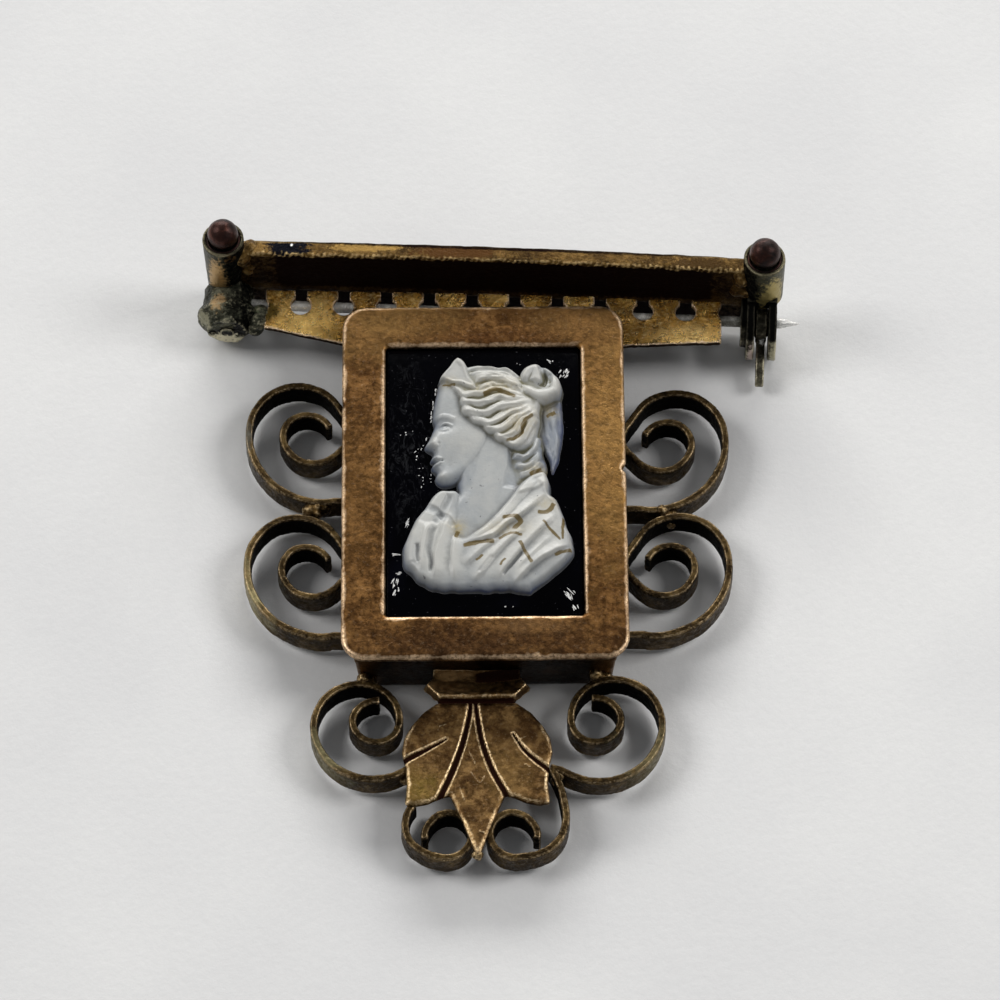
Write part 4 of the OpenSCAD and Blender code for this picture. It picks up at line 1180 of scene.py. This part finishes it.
def makeHinge():
    barrel = addTurned(pinGear["barrelRows"])
    low, high = -pinGear["pinV"] - pinGear["slotHalf"], -pinGear["pinV"] + pinGear["slotHalf"]
    mouth = [(a * pinGear["barrelRadius"], b * pinGear["barrelRadius"]) for a, b in pinGear["slotMouth"]]
    cutAway(barrel, addDisc(pinGear["eyeRoom"], low, high))
    cutAway(barrel, addPrism(mouth, low, high))
    cutAway(barrel, addDisc(pinGear["rivetRadius"] + 0.02, low - 1, pinGear["barrelFront"] + 1))
    fuseSkin(barrel, pinGear["barrelVoxel"])
    roughen(barrel, pinGear["barrelGrain"])
    moveBy(barrel, hingePlace())
    # painted shade on the barrel's side facing +X, towards the strip
    return finishPiece(barrel, "hingeBarrel", hingeMetal,
                       dark=lambda points, normals: 0.15 + 0.6 * smoothStep(normals[:, 0], 0.0, 0.6))


def makeRivet():
    back, front = pinGear["barrelBack"] + 0.04, pinGear["barrelFront"]
    shank = addDisc(pinGear["rivetRadius"], back, front + 0.1, 40)
    head = addDisc(pinGear["rivetRadius"] + 0.08, front, front + 0.14, 40)
    roundEdges(head, 0.06, 3)
    rivet = fuseSkin(joinPieces(shank, head), pinGear["rivetVoxel"], 1)
    moveBy(rivet, hingePlace())
    return finishPiece(rivet, "hingeRivetHead", hingeMetal, replaced=("hinge_rivet",))


def makePin():
    stem = addDisc(pinGear["pinRadius"], 0, pinGear["pinStraight"], 28)
    startEditOn(stem, "FACE", facesUp(stem))
    bpy.ops.mesh.extrude_region_move(TRANSFORM_OT_translate={"value": (0, 0, pinGear["pinPoint"])})
    taper = pinGear["tipRadius"] / pinGear["pinRadius"]
    bpy.ops.transform.resize(value=(taper, taper, 1))
    endEdit()
    moveBy(stem, Matrix.Translation((0, 0, -pinGear["pinV"])) @ Matrix.Rotation(math.radians(90), 4, "Y"))
    half = pinGear["eyeThick"] / 2
    eye = addDisc(pinGear["eyeRadius"], -pinGear["pinV"] - half, -pinGear["pinV"] + half)
    roundEdges(eye, 0.12)
    both = joinPieces(stem, eye)
    fuseSkin(both, pinGear["pinVoxel"], 1)
    cutAway(both, addDisc(pinGear["eyeBore"], 0, 4, 40))
    moveBy(both, hingePlace())
    return finishPiece(both, "pinStemWire", pinMetal, body="pin", replaced=("pin_stem",),
                       smooth=50)


def makeCatch():
    radius, front, out = pinGear["cheekRadius"], pinGear["cheekFront"], pinGear["cheekOut"]
    outline = arcPoints(0, 0, radius, -90, 90, 32) + arcPoints(-front, 0, radius, 90, 270, 32)
    plates = []
    for low, high in ((pinGear["cheekIn"], out), (-out, -pinGear["cheekIn"])):
        plates.append(cutSlot(addPrism(outline, low, high), pinGear["cheekHole"], low - 1, high + 1))
    flange = addDisc(pinGear["flangeRadius"], -out - pinGear["flangeThick"], -out + 0.05)
    plates.append(cutSlot(flange, pinGear["slotWidth"] / 2, -4, 0))
    blockLow = pinGear["blockLow"] - pinGear["pinZ"]
    blockTop = blockLow + pinGear["blockTall"]
    plates.append(addBox((0.2, blockLow, -out), (-pinGear["pinV"] + 0.2, blockTop, out)))
    for plate in plates:
        roundEdges(plate, 0.1, 2)
    catch = fuseSkin(joinPieces(*plates), pinGear["catchVoxel"], 1)
    roughen(catch, pinGear["catchGrain"])
    moveBy(catch, catchPlace())
    # painted shade: the upper cheeks and the block under the post are darkened
    return finishPiece(catch, "catchCheeks", catchMetal,
                       dark=lambda points, normals: 0.1 + 0.9 * smoothStep(points[:, 2], 3.1, 3.7))


def makeRotor():
    half, wide = pinGear["rotorThick"] / 2, pinGear["leverWidth"] / 2
    disc = addDisc(pinGear["rotorRadius"], -half, half)
    hub = addDisc(pinGear["hubRadius"], -pinGear["hubEnd"], pinGear["hubEnd"])
    arm = pinGear["leverLength"] - wide
    outline = [(0.8, wide * 0.8), (0.8, -wide * 0.8), (arm * 0.6, -wide * 0.9)]
    outline += arcPoints(arm, 0, wide, -90, 90, 14) + [(arm * 0.6, wide * 0.9)]
    lever = addPrism(outline, -half * 0.8, half * 0.8)
    moveBy(lever, Matrix.Rotation(math.radians(180 + pinGear["leverDroop"]), 4, "Z"))
    for part in (disc, hub):
        cutSlot(part, pinGear["slotWidth"] / 2, -4, 4)
    for part in (disc, hub, lever):
        roundEdges(part, 0.08, 2)
    rotor = fuseSkin(joinPieces(disc, hub, lever), pinGear["rotorVoxel"], 1)
    roughen(rotor, pinGear["rotorGrain"])
    moveBy(rotor, catchPlace())
    return finishPiece(rotor, "catchLever", catchMetal, body="rotor",
                       replaced=("catch_rotor",))


makeHinge()
makeRivet()
makePin()
makeCatch()
makeRotor()
print("hinge, pin and catch ready")

# Beads in the posts' cups
bead = {"radius": 1.06, "z": 8.75, "seatRadius": 1.1, "seatWire": 0.09, "grain": [(0.8, 0.05)]}


def makeBeadMaterial():
    material, tree, shader, place = startMaterial("darkCopper")
    cloud = noise(tree, place, 0.9, 5, 0.65, 0.4)
    fine = noise(tree, place, 5.0, 4, 0.6)
    colour = ramp(tree, cloud, [(0.35, (20, 12, 11)), (0.55, (58, 33, 27)), (0.75, (108, 66, 54))])
    colour = mixed(tree, spread(tree, fine, 0.58, 0.7, 0, 0.6), colour, (16, 11, 10))
    fill(tree, shader, {"Base Color": colour, "Roughness": spread(tree, cloud, 0.3, 0.7, 0.5, 0.3),
                        "Metallic": 0.75, "Normal": bumped(tree, ((1.0, cloud), (0.4, fine)), 0.05)})
    return material


def makeBead(name, side, node, material):
    x = side * bar["span"] / 2
    clearPick()
    bpy.ops.mesh.primitive_ico_sphere_add(subdivisions=5, radius=bead["radius"], location=(x, 0, bead["z"]))
    ball = bpy.context.object
    applyPlace(ball)
    roughen(ball, bead["grain"])
    clearPick()
    bpy.ops.mesh.primitive_torus_add(location=(x, 0, bar["mouth"] - 0.12), major_radius=bead["seatRadius"],
                                     minor_radius=bead["seatWire"], major_segments=64, minor_segments=12)
    seat = bpy.context.object
    applyPlace(seat)
    both = joinPieces(ball, seat)
    moveBy(both, barPlace(bar["skew"]))
    return finishPiece(both, name, material, replaced=(node,))


copper = makeBeadMaterial()
makeBead("beadLeft", -1, "bead_left", copper)
makeBead("beadRight", 1, "bead_right", copper)
print("beads ready")

# Cameo: a bust in low relief, worked as parts with rounded edges, then ridges and hollows
bust = {
    "middle": (0, 0.6), "floor": 5.02, "relief": 1.40, "sink": 0.07, "cell": 0.05, "reach": (6.3, 9.9),
    # part: outline, height, width of the rounded edge
    "parts": [
        ("nape", [(1.2, 2.4), (3.8, 3.0), (4.1, 1.4), (4.2, -0.5), (3.2, -1.6), (1.6, -1.6),
                  (1.2, 0.5)], 0.52, 0.9),
        ("neck", [(-1.9, 0.6), (-1.8, -0.9), (-1.75, -1.6), (-2.3, -2.3), (-2.7, -3.4), (-2.6, -5.0),
                  (-1.4, -6.4), (1.0, -5.6), (2.6, -2.6), (2.3, 0.2), (2.1, 2.6), (0, 3.4)], 0.80, 1.0),
        ("face", [(-2.4, 7.2), (-3.05, 6.9), (-3.2, 6.2), (-3.36, 5.4), (-3.45, 4.6), (-3.48, 4.05),
                  (-3.38, 3.6), (-3.52, 3.1), (-3.76, 2.5), (-4.0, 2.05), (-3.97, 1.8), (-3.76, 1.62),
                  (-3.52, 1.45), (-3.5, 1.2), (-3.63, 0.97), (-3.62, 0.76), (-3.42, 0.62), (-3.55, 0.42),
                  (-3.56, 0.18), (-3.36, -0.06), (-3.25, -0.25), (-3.32, -0.55), (-3.2, -0.9),
                  (-2.8, -1.15), (-2.2, -1.08), (-1.5, -0.75), (-0.75, -0.1), (0, 0.9), (0.6, 2.2),
                  (0.6, 4.6), (-0.5, 6.6)], 0.86, 0.75),
        ("hair", [(-2.9, 6.9), (-2.35, 6.25), (-1.85, 5.5), (-1.6, 4.4), (-0.95, 3.5), (0, 2.9), (0.6, 2.1),
                  (1.4, 1.5), (2.4, 1.2), (3.3, 1.6), (3.8, 2.6), (3.95, 4.0), (4.0, 5.4), (3.3, 6.9),
                  (2.6, 7.4), (1.8, 7.9), (0.7, 8.2), (-0.4, 8.25), (-1.1, 8.2), (-1.9, 7.7)], 0.98, 0.5),
        ("tail", [(3.3, 5.2), (4.4, 6.0), (5.3, 5.9), (5.42, 4.6), (5.46, 3.2), (5.3, 2.0), (5.05, 0.8),
                  (4.75, -0.1), (4.5, 0.7), (4.1, 1.7), (3.6, 3.2)], 0.34, 0.4),
        ("knot", [(2.4, 7.3), (2.7, 8.0), (3.4, 8.32), (4.2, 8.2), (4.95, 7.6), (5.42, 6.6), (5.35, 5.7),
                  (4.7, 5.15), (3.7, 4.8), (2.6, 5.6), (2.2, 6.6)], 0.98, 0.6),
        ("diadem", [(-3.08, 7.1), (-2.4, 8.1), (-1.74, 8.96), (-1.3, 8.6), (-1.0, 7.8), (-0.6, 6.9),
                    (-0.25, 6.1), (-0.9, 5.95), (-1.7, 6.3), (-2.7, 6.75)], 1.12, 0.38),
        ("dress", [(-3.2, -1.75), (-2.3, -1.55), (-1.65, -1.8), (-1.4, -2.9), (-1.7, -4.4), (-1.55, -5.2),
                   (-0.7, -4.9), (0.2, -4.1), (0.95, -3.2), (1.6, -2.3), (2.3, -1.3), (3.2, -0.45),
                   (4.1, -0.2), (4.5, -1.0), (4.6, -2.0), (5.2, -2.9), (5.5, -4.2), (5.95, -5.3),
                   (5.97, -6.6), (5.0, -7.8), (3.3, -9.3), (2.9, -9.5), (1.6, -9.3), (-0.6, -9.35),
                   (-3.5, -9.15), (-5.0, -7.95), (-5.55, -6.8), (-5.4, -5.6), (-4.9, -4.3),
                   (-4.0, -2.8)], 1.0, 0.46),
    ],
    # swelling: centre, size, lift
    "swells": [
        ("face", (-1.6, 2.5), (1.5, 1.3), 0.14),
        ("face", (-2.7, 5.3), (0.9, 1.0), 0.06),
        ("face", (-2.95, -0.6), (0.5, 0.4), 0.10),
        ("face", (-3.45, 1.95), (0.28, 0.5), 0.12),
        ("face", (-2.75, 3.3), (0.6, 0.42), -0.26),
        ("face", (-2.35, 0.4), (0.5, 0.6), -0.06),
        ("face", (-2.66, 3.22), (0.26, 0.2), 0.13),
        ("face", (-3.22, 1.72), (0.26, 0.26), 0.12),
        ("face", (-3.5, 1.66), (0.1, 0.07), -0.12),
        ("dress", (-3.8, -5.4), (1.3, 2.4), 0.12),
        ("dress", (3.6, -4.6), (2.0, 2.6), 0.08),
        ("dress", (-1.0, -8.2), (2.0, 1.2), -0.08),
        ("dress", (-1.7, -3.2), (0.7, 1.7), -0.26),
        ("dress", (-1.6, -5.2), (0.8, 0.6), -0.14),
        ("knot", (4.3, 7.1), (0.5, 0.5), -0.16),
        ("dress", (3.6, -8.1), (1.8, 0.8), -0.12),
        ("dress", (-0.6, -9.7), (6.5, 1.0), -0.42),
        ("dress", (-5.8, -7.0), (1.0, 2.4), -0.30),
        ("dress", (6.0, -7.0), (1.2, 1.4), -0.2),
        ("neck", (0.3, -2.2), (0.7, 2.6), 0.10),
    ],
    # ridge: part, line, half width, lift
    "ridges": [
        ("hair", [(-0.97, 7.95), (0.45, 8.0), (1.7, 7.6), (2.5, 7.0)], 0.26, 0.10),
        ("hair", [(-0.8, 7.5), (0.6, 7.5), (1.8, 7.1), (2.5, 6.6)], 0.25, 0.13),
        ("hair", [(-0.6, 6.95), (0.7, 7.05), (1.9, 6.6), (2.6, 6.1)], 0.32, 0.24),
        ("hair", [(-0.3, 6.2), (0.9, 6.45), (2.1, 6.05), (2.9, 5.8)], 0.28, 0.16),
        ("hair", [(-2.3, 6.3), (-1.5, 5.75), (-0.3, 5.75), (0.9, 5.95), (2.2, 5.6), (3.0, 5.5)], 0.30, 0.22),
        ("hair", [(-1.75, 5.5), (-1.15, 5.05), (-0.2, 4.95), (0.9, 5.35), (1.9, 5.25),
                  (3.2, 5.3)], 0.34, 0.28),
        ("hair", [(-1.6, 4.75), (-0.9, 4.3), (0.1, 4.15), (1.0, 4.65), (2.1, 4.85), (3.4, 5.1)], 0.36, 0.30),
        ("hair", [(-1.15, 4.0), (-0.3, 3.5), (0.6, 3.5), (1.4, 4.05), (2.3, 4.4), (3.5, 4.8)], 0.32, 0.26),
        ("hair", [(-0.3, 3.25), (0.5, 2.85), (1.4, 3.1), (2.1, 3.7), (2.9, 4.2), (3.6, 4.5)], 0.34, 0.28),
        ("hair", [(0.5, 2.45), (1.3, 2.25), (2.1, 2.7), (2.6, 3.4), (3.2, 4.0), (3.8, 4.3)], 0.32, 0.24),
        ("hair", [(1.2, 1.8), (2.1, 1.75), (2.8, 2.3), (3.2, 3.2), (3.7, 3.9)], 0.28, 0.20),
        ("nape", [(1.9, 1.1), (2.8, 1.0), (3.5, 1.7), (3.8, 2.7)], 0.28, 0.26),
        ("nape", [(2.1, 0.3), (3.0, 0.3), (3.7, 1.0), (4.0, 1.9)], 0.26, 0.22),
        ("nape", [(2.4, -0.5), (3.2, -0.3), (3.9, 0.5)], 0.24, 0.2),
        ("tail", [(4.6, 5.2), (4.85, 3.6), (5.0, 2.2), (4.88, 0.8)], 0.26, 0.12),
        ("tail", [(4.3, 5.0), (4.35, 3.7), (4.6, 2.4), (4.75, 1.4)], 0.22, 0.10),
        ("tail", [(5.2, 4.8), (5.3, 3.4), (5.15, 2.1)], 0.16, 0.08),
        ("knot", [(1.9, 6.2), (3.0, 5.85), (4.2, 5.6), (5.0, 6.0), (5.1, 6.8), (4.85, 7.5)], 0.5, 0.30),
        ("knot", [(2.6, 6.8), (2.95, 7.5), (3.4, 7.95), (3.75, 7.7), (3.7, 7.0), (3.5, 6.6)], 0.46, 0.30),
        ("knot", [(4.0, 8.05), (4.5, 7.85), (4.8, 7.3)], 0.22, 0.16),
        ("knot", [(2.4, 5.6), (3.3, 5.25), (4.3, 5.15)], 0.28, 0.16),
        ("diadem", [(-1.66, 8.7), (-1.3, 8.0), (-0.9, 7.2), (-0.4, 6.3)], 0.26, 0.16),
        ("diadem", [(-2.95, 7.1), (-2.3, 7.95), (-1.75, 8.7)], 0.16, 0.10),
        ("diadem", [(-2.7, 6.9), (-1.7, 6.55), (-0.6, 6.3)], 0.18, 0.10),
        ("neck", [(0.9, 2.6), (0.4, -0.4), (-0.3, -2.8), (-1.0, -4.6)], 1.0, 0.05),
        ("face", [(-3.42, 3.85), (-2.95, 4.05), (-2.4, 4.02), (-1.95, 3.75)], 0.20, 0.07),
        ("face", [(-3.02, 3.3), (-2.75, 3.52), (-2.4, 3.5), (-2.1, 3.27)], 0.09, 0.12),
        ("face", [(-3.0, 3.08), (-2.7, 2.98), (-2.35, 3.08)], 0.08, 0.07),
        ("face", [(-3.62, 0.9), (-3.25, 0.86), (-2.85, 0.68)], 0.14, 0.12),
        ("face", [(-3.55, 0.3), (-3.2, 0.36), (-2.88, 0.58)], 0.15, 0.13),
        ("dress", [(-4.0, -4.3), (-4.5, -5.8), (-4.7, -7.4)], 0.5, 0.08),
        ("dress", [(3.4, -0.9), (2.6, -2.0), (1.6, -3.3), (0.4, -4.5), (-0.8, -5.3)], 0.40, 0.12),
    ],
    # fold: part, line with the gentle side on its left, width of the gentle and the steep side, lift
    "folds": [
        ("dress", [(-2.3, -3.5), (-2.85, -5.2), (-3.3, -7.05), (-3.35, -8.9)], 0.95, 0.22, 0.22),
        ("dress", [(-3.75, -4.3), (-4.2, -6.0), (-4.3, -8.1)], 0.8, 0.20, 0.14),
        ("dress", [(-1.9, -5.2), (-2.1, -6.6), (-2.05, -8.9)], 0.9, 0.22, 0.18),
        ("dress", [(-1.5, -5.85), (0.45, -5.45), (1.54, -4.45), (2.52, -3.75), (4.5, -1.8)], 1.1, 0.20, 0.30),
        ("dress", [(2.1, -2.1), (3.2, -1.75), (4.5, -1.1)], 0.6, 0.18, 0.10),
        ("dress", [(3.7, -0.9), (4.3, -1.9), (4.7, -2.9)], 0.5, 0.16, 0.12),
        ("dress", [(-1.4, -7.7), (-0.3, -6.5), (0.95, -5.6)], 0.7, 0.22, 0.16),
        ("dress", [(-0.8, -8.95), (0.1, -7.6), (1.4, -6.0), (2.6, -4.9)], 0.85, 0.24, 0.22),
        ("dress", [(0.7, -8.9), (1.9, -7.1), (3.5, -5.2), (4.9, -3.7)], 0.95, 0.24, 0.22),
        ("dress", [(2.0, -8.1), (3.4, -6.6), (4.6, -5.4)], 0.5, 0.20, 0.10),
        ("dress", [(1.9, -9.0), (3.5, -7.4), (5.9, -5.9)], 1.0, 0.24, 0.30),
    ],
    # carved line: part, line, half width, depth
    "cuts": [
        ("face", [(-3.46, 0.62), (-3.1, 0.6), (-2.72, 0.66)], 0.10, 0.13),
        ("face", [(-3.14, 2.02), (-2.98, 1.8), (-3.08, 1.55)], 0.10, 0.10),
        ("face", [(-2.95, 3.3), (-2.7, 3.42), (-2.4, 3.38)], 0.05, 0.06),
        ("knot", [(3.9, 8.1), (4.12, 7.5), (4.15, 6.8), (3.9, 6.3)], 0.24, 0.34),
        ("knot", [(4.55, 7.4), (4.6, 6.6)], 0.16, 0.16),
        ("neck", [(1.98, 1.6), (2.1, 0.4), (1.7, -1.6)], 0.5, 0.14),
        ("hair", [(-1.0, 7.6), (0.5, 7.75), (1.8, 7.35), (2.5, 6.8)], 0.14, 0.16),
        ("dress", [(-4.4, -2.9), (-3.2, -3.5), (-2.0, -4.7)], 0.32, 0.15),
        ("dress", [(-2.3, -2.0), (-2.8, -3.4), (-3.5, -4.5)], 0.28, 0.14),
        ("dress", [(-4.6, -6.0), (-4.4, -7.4)], 0.16, 0.14),
        ("dress", [(-3.4, -4.7), (-3.75, -6.2), (-3.6, -8.2)], 0.22, 0.12),
        ("dress", [(-0.4, -8.2), (0.6, -6.9)], 0.14, 0.10),
        ("dress", [(1.2, -8.4), (2.6, -6.6)], 0.14, 0.10),
    ],
    "strands": {"hair": (0.13, 0.10), "nape": (0.12, 0.09), "tail": (0.1, 0.05)}, "seed": 11,
    "shake": (1.7, 0.05),
    # stain: line and half width
    "stains": [
        ([(1.15, -4.1), (2.1, -4.02), (2.45, -4.4), (1.9, -4.95)], 0.17),
        ([(-1.45, -6.15), (-0.5, -5.95), (0.7, -5.85)], 0.19),
        ([(0.9, -5.75), (1.75, -5.3), (2.6, -5.4)], 0.13),
        ([(2.35, -5.85), (3.2, -7.65)], 0.14),
        ([(3.6, -3.65), (4.3, -3.6), (4.75, -2.9)], 0.20),
        ([(3.95, -4.3), (5.15, -5.85)], 0.11),
        ([(5.38, -3.9), (5.28, -5.8)], 0.10),
        ([(4.7, -6.9), (5.9, -6.4)], 0.13),
        ([(0.0, 5.55), (0.9, 5.95), (2.3, 5.3)], 0.16),
        ([(3.4, 4.0), (2.75, 3.3), (2.55, 2.5), (1.5, 1.9)], 0.14),
        ([(4.3, 4.2), (4.95, 4.6)], 0.16),
        ([(3.1, -0.5), (4.0, 0.0)], 0.20),
        ([(-2.8, 6.6), (-1.9, 6.5)], 0.10),
        ([(-1.8, -4.9), (-1.95, -5.5)], 0.14),
        ([(-0.6, -7.3), (-0.1, -6.9)], 0.10),
        ([(1.0, -7.7), (1.4, -7.2)], 0.10),
    ],
    # pale tinge: centre, size, share
    "tinges": [
        ((-1.75, -4.75), (0.5, 0.6), 0.9),
        ((1.5, -4.9), (1.6, 0.6), 0.45),
        ((0.8, 6.2), (1.7, 0.7), 0.6),
        ((2.4, 3.4), (1.1, 1.2), 0.6),
        ((4.6, 4.6), (0.6, 0.6), 0.6),
        ((3.6, 0.0), (0.9, 0.5), 0.6),
        ((4.3, -2.9), (0.8, 0.5), 0.5),
        ((-2.4, 6.7), (0.7, 0.4), 0.5),
    ],
}


def closedLine(points, steps=5):
    line = smoothLine(list(points[-2:]) + list(points) + list(points[:2]), steps)
    return line[2 * steps:-steps]


def insideDistance(points, outline):  # distance from the outline, positive inside it
    gap, _ = lineDistance(points, outline)
    ends = np.array(outline)
    inside = np.zeros(len(points), bool)
    for a, b in zip(ends, np.roll(ends, -1, 0)):
        crosses = (a[1] > points[:, 1]) != (b[1] > points[:, 1])
        rise = (points[:, 1] - a[1]) / (b[1] - a[1] + 1e-12)
        inside ^= crosses & (points[:, 0] < (b[0] - a[0]) * rise + a[0])
    return np.where(inside, gap, -gap)


def nearLine(points, line, reach):  # a smooth line, and the numbers of the points close to it
    line = np.array(smoothLine(line, 6))
    return line, np.where(((points > line.min(0) - reach) & (points < line.max(0) + reach)).all(1))[0]


def alongLine(points, line, width, taper=0.15):  # 1 on a line, falling round to 0 at its width and ends
    line, near = nearLine(points, line, width)
    gap, along = lineDistance(points[near], line)
    ends = smoothStep(np.minimum(along, 1 - along), -0.03, taper)
    share = np.zeros(len(points))
    share[near] = np.sqrt(np.clip(1 - (gap / width) ** 2, 0, 1)) * ends
    return share


def alongFold(points, line, gentle, steep):  # 1 on a line, a slope on its left and a step on its right
    line, near = nearLine(points, line, gentle)
    spot = points[near]
    gap, along = lineDistance(spot, line)
    place = np.clip(along * (len(line) - 1), 0, len(line) - 1.001).astype(int)
    span, off = line[place + 1] - line[place], spot - line[place]
    left = span[:, 0] * off[:, 1] - span[:, 1] * off[:, 0] > 0
    fall = np.where(left, np.clip(1 - gap / gentle, 0, 1) ** 1.5, np.clip(1 - gap / steep, 0, 1))
    share = np.zeros(len(points))
    share[near] = fall * smoothStep(np.minimum(along, 1 - along), 0.0, 0.25)
    return share


def rowsOf(kind, part):  # what a table says of one part
    return [row[1:] for row in bust[kind] if row[0] == part]


def fineStrands(part):  # thinner lines between each two neighbouring ridges
    draw = np.random.RandomState(bust["seed"])
    width, lift = bust["strands"][part]
    spots = np.linspace(0, 1, 9)
    rows = []
    for line, *_ in rowsOf("ridges", part):
        guide = np.array(smoothLine(line, 12))
        places = np.linspace(0, 1, len(guide))
        rows.append(np.column_stack([np.interp(spots, places, column) for column in guide.T]))
    for above, below in zip(rows, rows[1:]):
        for share in (0.0, 0.3, 0.62):
            line = above + (below - above) * (share + draw.uniform(-0.12, 0.12, (len(spots), 1)))
            yield line.tolist(), width * draw.uniform(0.7, 1.3), lift * draw.uniform(0.5, 1.3)


def softSpot(points, centre, size):  # 1 at the centre, fading over the size
    return np.exp(-((points - np.array(centre)) ** 2 / np.array(size) ** 2).sum(1))


def softened(grid, rounds):
    for _ in range(rounds):
        padded = np.pad(grid, 1, mode="edge")
        grid = (padded[:-2, 1:-1] + padded[2:, 1:-1] + 2 * grid) / 4
        padded = np.pad(grid, 1, mode="edge")
        grid = (padded[1:-1, :-2] + padded[1:-1, 2:] + 2 * grid) / 4
    return grid


def bustHeight(flat):  # the height, and a share that is 1 on the hair
    crooked = shaken(flat, bust["seed"], *bust["shake"])
    height, hair = np.full(len(flat), -bust["sink"]), np.zeros(len(flat))
    for name, outline, tall, edge in bust["parts"]:
        points = flat if name == "face" else crooked
        depth = insideDistance(points, closedLine(outline))
        rounded = np.sqrt(1 - (1 - np.clip(depth / edge, 0, 1)) ** 2)
        body = np.full(len(points), float(tall))
        for centre, size, lift in rowsOf("swells", name):
            body += lift * softSpot(points, centre, size)
        raised = np.zeros(len(points))
        for line, width, lift in rowsOf("ridges", name):
            raised = np.maximum(raised, lift * alongLine(points, line, width))
        for line, gentle, steep, lift in rowsOf("folds", name):
            raised += lift * alongFold(points, line, gentle, steep)
        for line, width, sunk in rowsOf("cuts", name):
            raised -= sunk * alongLine(points, line, width)
        if name in bust["strands"]:
            for line, width, lift in fineStrands(name):
                raised += lift * alongLine(points, line, width, 0.3)
        body = (body + raised) * rounded
        hair[(depth > 0) & (body > height)] = name in ("hair", "nape", "knot")
        height = np.where(depth > 0, np.maximum(height, body), height)
    return np.minimum(height, bust["relief"]), hair


def makeCameoMaterial():
    material, tree, shader, place = startMaterial("cameoWhite")
    cloud = noise(tree, place, 0.5, 5, 0.6, 0.5)
    fine = noise(tree, place, 4.0, 4, 0.6)
    thick = sums(tree, "ADD", attribute(tree, "thick"), spread(tree, cloud, 0.3, 0.7, -0.12, 0.12))
    colour = ramp(tree, thick, [(0.10, (74, 84, 114)), (0.27, (132, 139, 150)), (0.5, (161, 165, 167)),
                                (0.85, (194, 194, 189))])
    # painted shade: the hollow attribute darkens grooves and low places, grey on the dress and face, olive on
    # the hair
    hollow = sums(tree, "ADD", attribute(tree, "hollow"), spread(tree, fine, 0.3, 0.7, -0.08, 0.08))
    groove = mixed(tree, attribute(tree, "hair"), (96, 98, 98), (104, 100, 70))
    colour = mixed(tree, spread(tree, hollow, 0.06, 0.7, 0, 0.85), colour, groove)
    tinge = sums(tree, "MULTIPLY", spread(tree, fine, 0.3, 0.7, 0.2, 1.0), attribute(tree, "tinge"))
    colour = mixed(tree, tinge, colour, (182, 164, 112))
    stain = sums(tree, "ADD", attribute(tree, "stain"), spread(tree, fine, 0.3, 0.7, -0.25, 0.1))
    colour = mixed(tree, spread(tree, stain, 0.08, 0.6, 0, 0.92), colour, (104, 86, 34))
    speck = noise(tree, place, 2.6, 2, 0.5)
    colour = mixed(tree, spread(tree, speck, 0.71, 0.76, 0, 0.7), colour, (92, 92, 96))
    fill(tree, shader, {"Base Color": colour, "Roughness": spread(tree, fine, 0.3, 0.7, 0.28, 0.45),
                        "Subsurface Weight": 0.25, "Subsurface Scale": 0.0005,
                        "Subsurface Radius": (1.0, 0.95, 0.9),
                        "Normal": bumped(tree, ((1.0, fine), (0.5, cloud)), 0.02)})
    return material


def makeCameo():
    across, along = (int(2 * reach / bust["cell"]) for reach in bust["reach"])
    clearPick()
    bpy.ops.mesh.primitive_grid_add(x_subdivisions=across, y_subdivisions=along, size=2)
    relief = bpy.context.object
    points = readPoints(relief)
    flat = points[:, :2] * np.array(bust["reach"])
    height, hair = bustHeight(flat)
    grid = softened(height.reshape(along + 1, across + 1), 1)
    # sunk, how far each place lies below its surroundings, becomes the painted shade in the grooves
    sunk = softened(grid, 60) - grid
    height = grid.ravel()
    points[:, :2] = flat + np.array(bust["middle"])
    points[:, 2] = bust["floor"] + height
    writePoints(relief, points)
    writeValue(relief, "thick", height / bust["relief"])
    writeValue(relief, "hollow", sunk.ravel() * 6.0)
    writeValue(relief, "hair", softened(hair.reshape(grid.shape), 6).ravel())
    stain = np.zeros(len(flat))
    for line, width in bust["stains"]:
        stain = np.maximum(stain, alongLine(shaken(flat, 3, 1.2, 0.025), line, width, 0.12))
    writeValue(relief, "stain", stain)
    tinge = np.zeros(len(flat))
    for centre, size, share in bust["tinges"]:
        tinge += share * softSpot(flat, centre, size)
    writeValue(relief, "tinge", tinge)
    outside = height < 0.004 - bust["sink"]
    corners = np.zeros(len(relief.data.loops), int)
    relief.data.loops.foreach_get("vertex_index", corners)
    startEditOn(relief, "FACE", outside[corners].reshape(-1, 4).all(1))
    bpy.ops.mesh.delete(type="FACE")
    bpy.ops.mesh.select_mode(type="EDGE")
    bpy.ops.mesh.select_all(action="DESELECT")
    bpy.ops.mesh.select_non_manifold(extend=False, use_wire=False, use_multi_face=False,
                                     use_non_contiguous=False, use_verts=False, use_boundary=True)
    bpy.ops.mesh.extrude_region_move(TRANSFORM_OT_translate={"value": (0, 0, -bust["sink"])})
    bpy.ops.mesh.edge_face_add()
    endEdit()
    faceOutward(relief)
    return finishPiece(relief, "cameoBust", makeCameoMaterial(), replaced=("bust",),
                       smooth=60)


makeCameo()
print("cameo ready")
